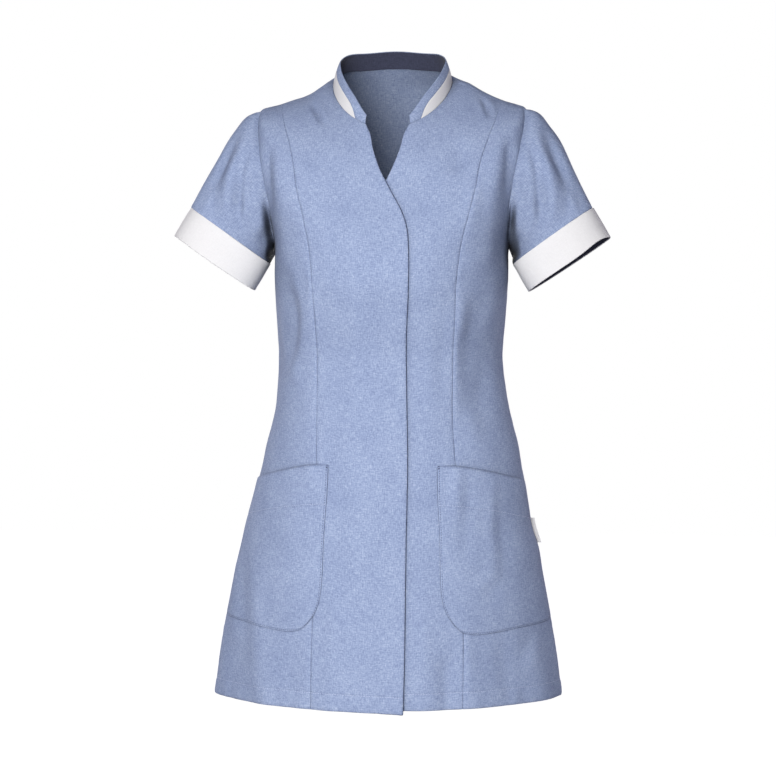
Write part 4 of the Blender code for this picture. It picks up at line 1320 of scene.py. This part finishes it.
# Back, from the wearer's left side seam round to the right one
mirror_place = np.array((-1.0, 1.0))
whole_turn = np.array((360.0, 0.0))
left_shoulder = joined(outer_shoulder[::-1], inner_shoulder[::-1])
right_shoulder = left_shoulder[::-1] * mirror_place + whole_turn
neck_back = straight(neck_point, right_shoulder[0], 120)
back_top = joined(left_shoulder, neck_back, right_shoulder)
right_side_edge = back_side_edge * mirror_place + whole_turn
left_side_edge = back_side_edge + left_side_lift
hem = straight(back_side_edge[-1], right_side_edge[-1], len(back_top) - 1)
hem[:, 1] -= LEFT_SIDE_RISE * (1 - smooth(np.linspace(0, 2, len(hem))))
fine_s = np.linspace(0, HEM_S, SEARCH_POINTS)
back_z = form(180.0, fine_s)[:, 2]
middle_s = np.interp(-np.linspace(back_z[0], back_z[-1], len(back_side_edge)), -back_z, fine_s)
places = patch(back_top, hem, left_side_edge, right_side_edge, BODY_TOP_SHARE, top_reach=2.0,
               middle_s=middle_s)
rows = graded(len(back_side_edge) - 1, BACK_LENGTH, SEAM_STEPS, HEM_STEPS)
columns = graded(BACK_COLUMNS, BACK_WIDTH, SEAM_STEPS, SEAM_STEPS)
places = resampled(places, rows, columns)
add_panel("back", places, 1, ("top", "left", "right"), HEM_DEPTH)

# Sleeves, cuffs and the cuffs' facings
sleeve_share = graded(SLEEVE_ROWS, SLEEVE_LENGTH, SEAM_STEPS, SEAM_STEPS)
cuff_share = graded(CUFF_ROWS, CUFF_HEIGHT, CUFF_STEPS, CUFF_STEPS)
for side, name in SIDES:
    add_tube("sleeve_" + name, sleeve_grid(side, sleeve_share), CLOTH, "chambray")
    grid = cuff_grid(side, cuff_share)
    t = cuff_share[:, None]
    soft = CUFF_SOFTNESS * noise(grid, 0.030, 1.9) * np.sin(np.pi * t)
    proud = CUFF_PROUD * (1 - 0.4 * t)
    add_tube("cuff_" + name, grid, CUFF_CLOTH, "white_cloth", sink=-soft - proud)
    add_tube("cuff_facing_" + name, cuff_grid(side, cuff_share * FACING_SHARE), FACING_CLOTH,
             "navy_cloth", sink=CUFF_CLOTH + FACING_GAP - soft - proud)

# Collar: the white insert along the neck seam, the chambray band over it, the facing inside
collar_angles = np.concatenate([np.linspace(FRONT_NECK_ANGLE, 100, 90),
                                np.linspace(100, 260, 90)[1:-1],
                                np.linspace(260, 360 - FRONT_NECK_ANGLE, 90)])
height = look_up(COLLAR, 1, from_front(collar_angles))
insert = np.maximum(look_up(COLLAR, 2, from_front(collar_angles)), 0.0)
has_insert = from_front(collar_angles) >= INSERT_FROM_ANGLE
foot = np.zeros(len(height))
add_collar_part("collar_band", collar_angles, np.where(has_insert, insert, foot), height,
                COLLAR_ROWS, CUFF_CLOTH, "chambray", edge="bottom", dip=BAND_DIP * has_insert)
add_collar_part("collar_insert", collar_angles[has_insert], foot[has_insert],
                insert[has_insert] + INSERT_OVERLAP, COLLAR_ROWS, CUFF_CLOTH, "white_cloth",
                dip=INSERT_DIP)
add_collar_part("collar_facing", collar_angles, foot, height - COLLAR_FACING_DROP,
                COLLAR_FACING_ROWS, FACING_CLOTH, "navy_cloth", sink=CUFF_CLOTH)


def pocket_shape(distance):
    """The pocket's turned edges lie flat and its hem is double; its top stands off a little."""
    edge = np.minimum(distance["left"], distance["bottom"])
    top = distance["top"]
    double = turned_in(top, POCKET_HEM_DEPTH)
    inside = smooth(edge / 0.03) * smooth(distance["right"] / 0.05)
    rise = inside * (0.0009 + 0.0016 * bell(top, 0.022))
    rise -= 0.0013 * (1 - smooth(distance["right"] / 0.025))
    rise -= 0.0006 * (1 - smooth(edge / 0.0016))
    rise -= 0.0019 * (1 - smooth(top / 0.0023)) * smooth(distance["right"] / 0.010)
    rise -= 0.0003 * bell(edge - POCKET_STITCH_INSET, 0.0008)
    rise -= 0.0004 * bell(top - POCKET_HEM_DEPTH, STITCH_REACH)
    return rise + 0.0002 * double, 0.0003 * double


# Pockets, from the points of the fronts moved out
top = line(POCKET_TOP, POCKET_LINE_POINTS, POCKET_SIDE_TOP)
inner_edge = line(POCKET_INNER, POCKET_LINE_POINTS)
bottom = line(POCKET_BOTTOM, POCKET_LINE_POINTS, POCKET_SIDE_BOTTOM)
outer_edge = straight(top[-1], bottom[-1], POCKET_LINE_POINTS)
rim_steps = POCKET_RIM_STEPS + beside_stitches(POCKET_HEM_DEPTH)
rows = graded(POCKET_ROWS, POCKET_LENGTH, rim_steps, POCKET_EDGE_STEPS)
columns = graded(POCKET_COLUMNS, POCKET_WIDTH, POCKET_EDGE_STEPS, SEAM_STEPS)
places = patch(top, bottom, inner_edge, outer_edge, top_share=1.2)
places = resampled(places, rows, columns)
for side, name in SIDES:
    add_panel("pocket_" + name, places, side, (), lift=POCKET_LIFT + CLOTH, extra=pocket_shape)

# Sewing
HEMMED = ("front_centre_right", "front_side_right", "back", "front_side_left",
          "front_centre_left")
hem_lines = [parallel(name, "bottom", HEM_DEPTH) for name in HEMMED]
pocket_lines = []
for side, name in SIDES:
    pocket = "pocket_" + name
    hem_lines.append(parallel(pocket, "top", POCKET_HEM_DEPTH))
    pocket_lines.append(parallel(pocket, "left", POCKET_STITCH_INSET))
    pocket_lines.append(parallel(pocket, "bottom", POCKET_STITCH_INSET))
    for inset in BAR_STITCH_INSETS:
        pocket_lines.append(parallel(pocket, "left", inset, lift=0.0001, last=0.035))
hem_sewing = stitches("hem_stitching", hem_lines, length=0.0026, gap=0.0006, width=0.00065,
                      rise=0.00016, thread=pale_thread_and_highlight)
pocket_sewing = stitches("pocket_stitching", pocket_lines, length=0.0022, gap=0.0009,
                         width=0.00055, rise=0.00010, thread=dark_thread_and_shade)

# Side label, a bare folded tape that stands out of the left side seam
label_s = LABEL_S + np.linspace(-0.5, 0.5, LABEL_ROWS) * LABEL_HEIGHT
edge, _ = surface(np.stack([np.full(LABEL_ROWS, 90.0), label_s], axis=-1))
outer = edge[:, None] + np.insert(LABEL_PROFILE, 2, 0.0, axis=1)[None]
rough = outer - (edge + np.array((LABEL_MIDDLE_X, 0, 0)))[:, None]
label_tape = add_cloth("side_label", outer, grid_normals(outer, rough), LABEL_CLOTH,
                       "white_cloth", ending="_tape")

# Floor, light and camera
floor = bpy.data.meshes.new("floor")
turn = np.linspace(0, 2 * np.pi, 96, endpoint=False)
floor.from_pydata([(FLOOR_RADIUS * np.cos(a), FLOOR_RADIUS * np.sin(a), FLOOR_Z) for a in turn],
                  [], [list(range(len(turn)))])
floor_object = bpy.data.objects.new("floor", floor)
bpy.context.scene.collection.objects.link(floor_object)
pale, pale_shader = new_material("pale_floor", roughness=0.9, sheen=0.0)
pale_shader.inputs["Base Color"].default_value = (*FLOOR_COLOUR, 1.0)
pale_shader.inputs["Emission Color"].default_value = (*PURE_WHITE, 1.0)
pale_shader.inputs["Emission Strength"].default_value = 1.0
floor.materials.append(pale)
floor_object.visible_diffuse = False
floor_object.visible_glossy = False

for name, place, diameter, watts, colour in LIGHTS:
    lamp = bpy.data.lights.new(name, "AREA")
    lamp.shape = "DISK"
    lamp.size = diameter
    lamp.energy = watts
    lamp.color = colour
    lamp_object = bpy.data.objects.new(name, lamp)
    lamp_object.location = place
    aim = Vector(LIGHT_TARGET) - Vector(place)
    lamp_object.rotation_euler = aim.to_track_quat("-Z", "Y").to_euler()
    bpy.context.scene.collection.objects.link(lamp_object)

world = bpy.data.worlds.new("studio")
world.use_nodes = True
bpy.context.scene.world = world
tree = world.node_tree
background = tree.nodes["Background"]
background.inputs["Color"].default_value = (*WORLD_COLOUR, 1.0)
background.inputs["Strength"].default_value = WORLD_STRENGTH
seen = put(tree, "ShaderNodeBackground", {0: (*PURE_WHITE, 1.0), 1: 1.0})
path = put(tree, "ShaderNodeLightPath")
mixed = put(tree, "ShaderNodeMixShader",
            {0: path.outputs["Is Camera Ray"], 1: background.outputs[0], 2: seen.outputs[0]})
tree.links.new(mixed.outputs[0], tree.nodes["World Output"].inputs["Surface"])
bpy.context.scene.view_settings.view_transform = "Standard"

camera_data = bpy.data.cameras.new("photo_camera")
camera_data.sensor_width = SENSOR_WIDTH
camera_data.lens = CAMERA_LENS
camera = bpy.data.objects.new("photo_camera", camera_data)
right = Vector((np.cos(CAMERA_TURN), np.sin(CAMERA_TURN), 0.0))
back_off = Vector((np.sin(CAMERA_TURN), -np.cos(CAMERA_TURN), 0.0))
camera.rotation_euler = (-back_off).to_track_quat("-Z", "Y").to_euler()
camera.rotation_euler.rotate_axis("Z", CAMERA_ROLL)
camera.location = Vector((0.0, 0.0, EYE_Z)) + back_off * CAMERA_DISTANCE + right * CAMERA_SIDESTEP
bpy.context.scene.collection.objects.link(camera)
bpy.context.scene.camera = camera
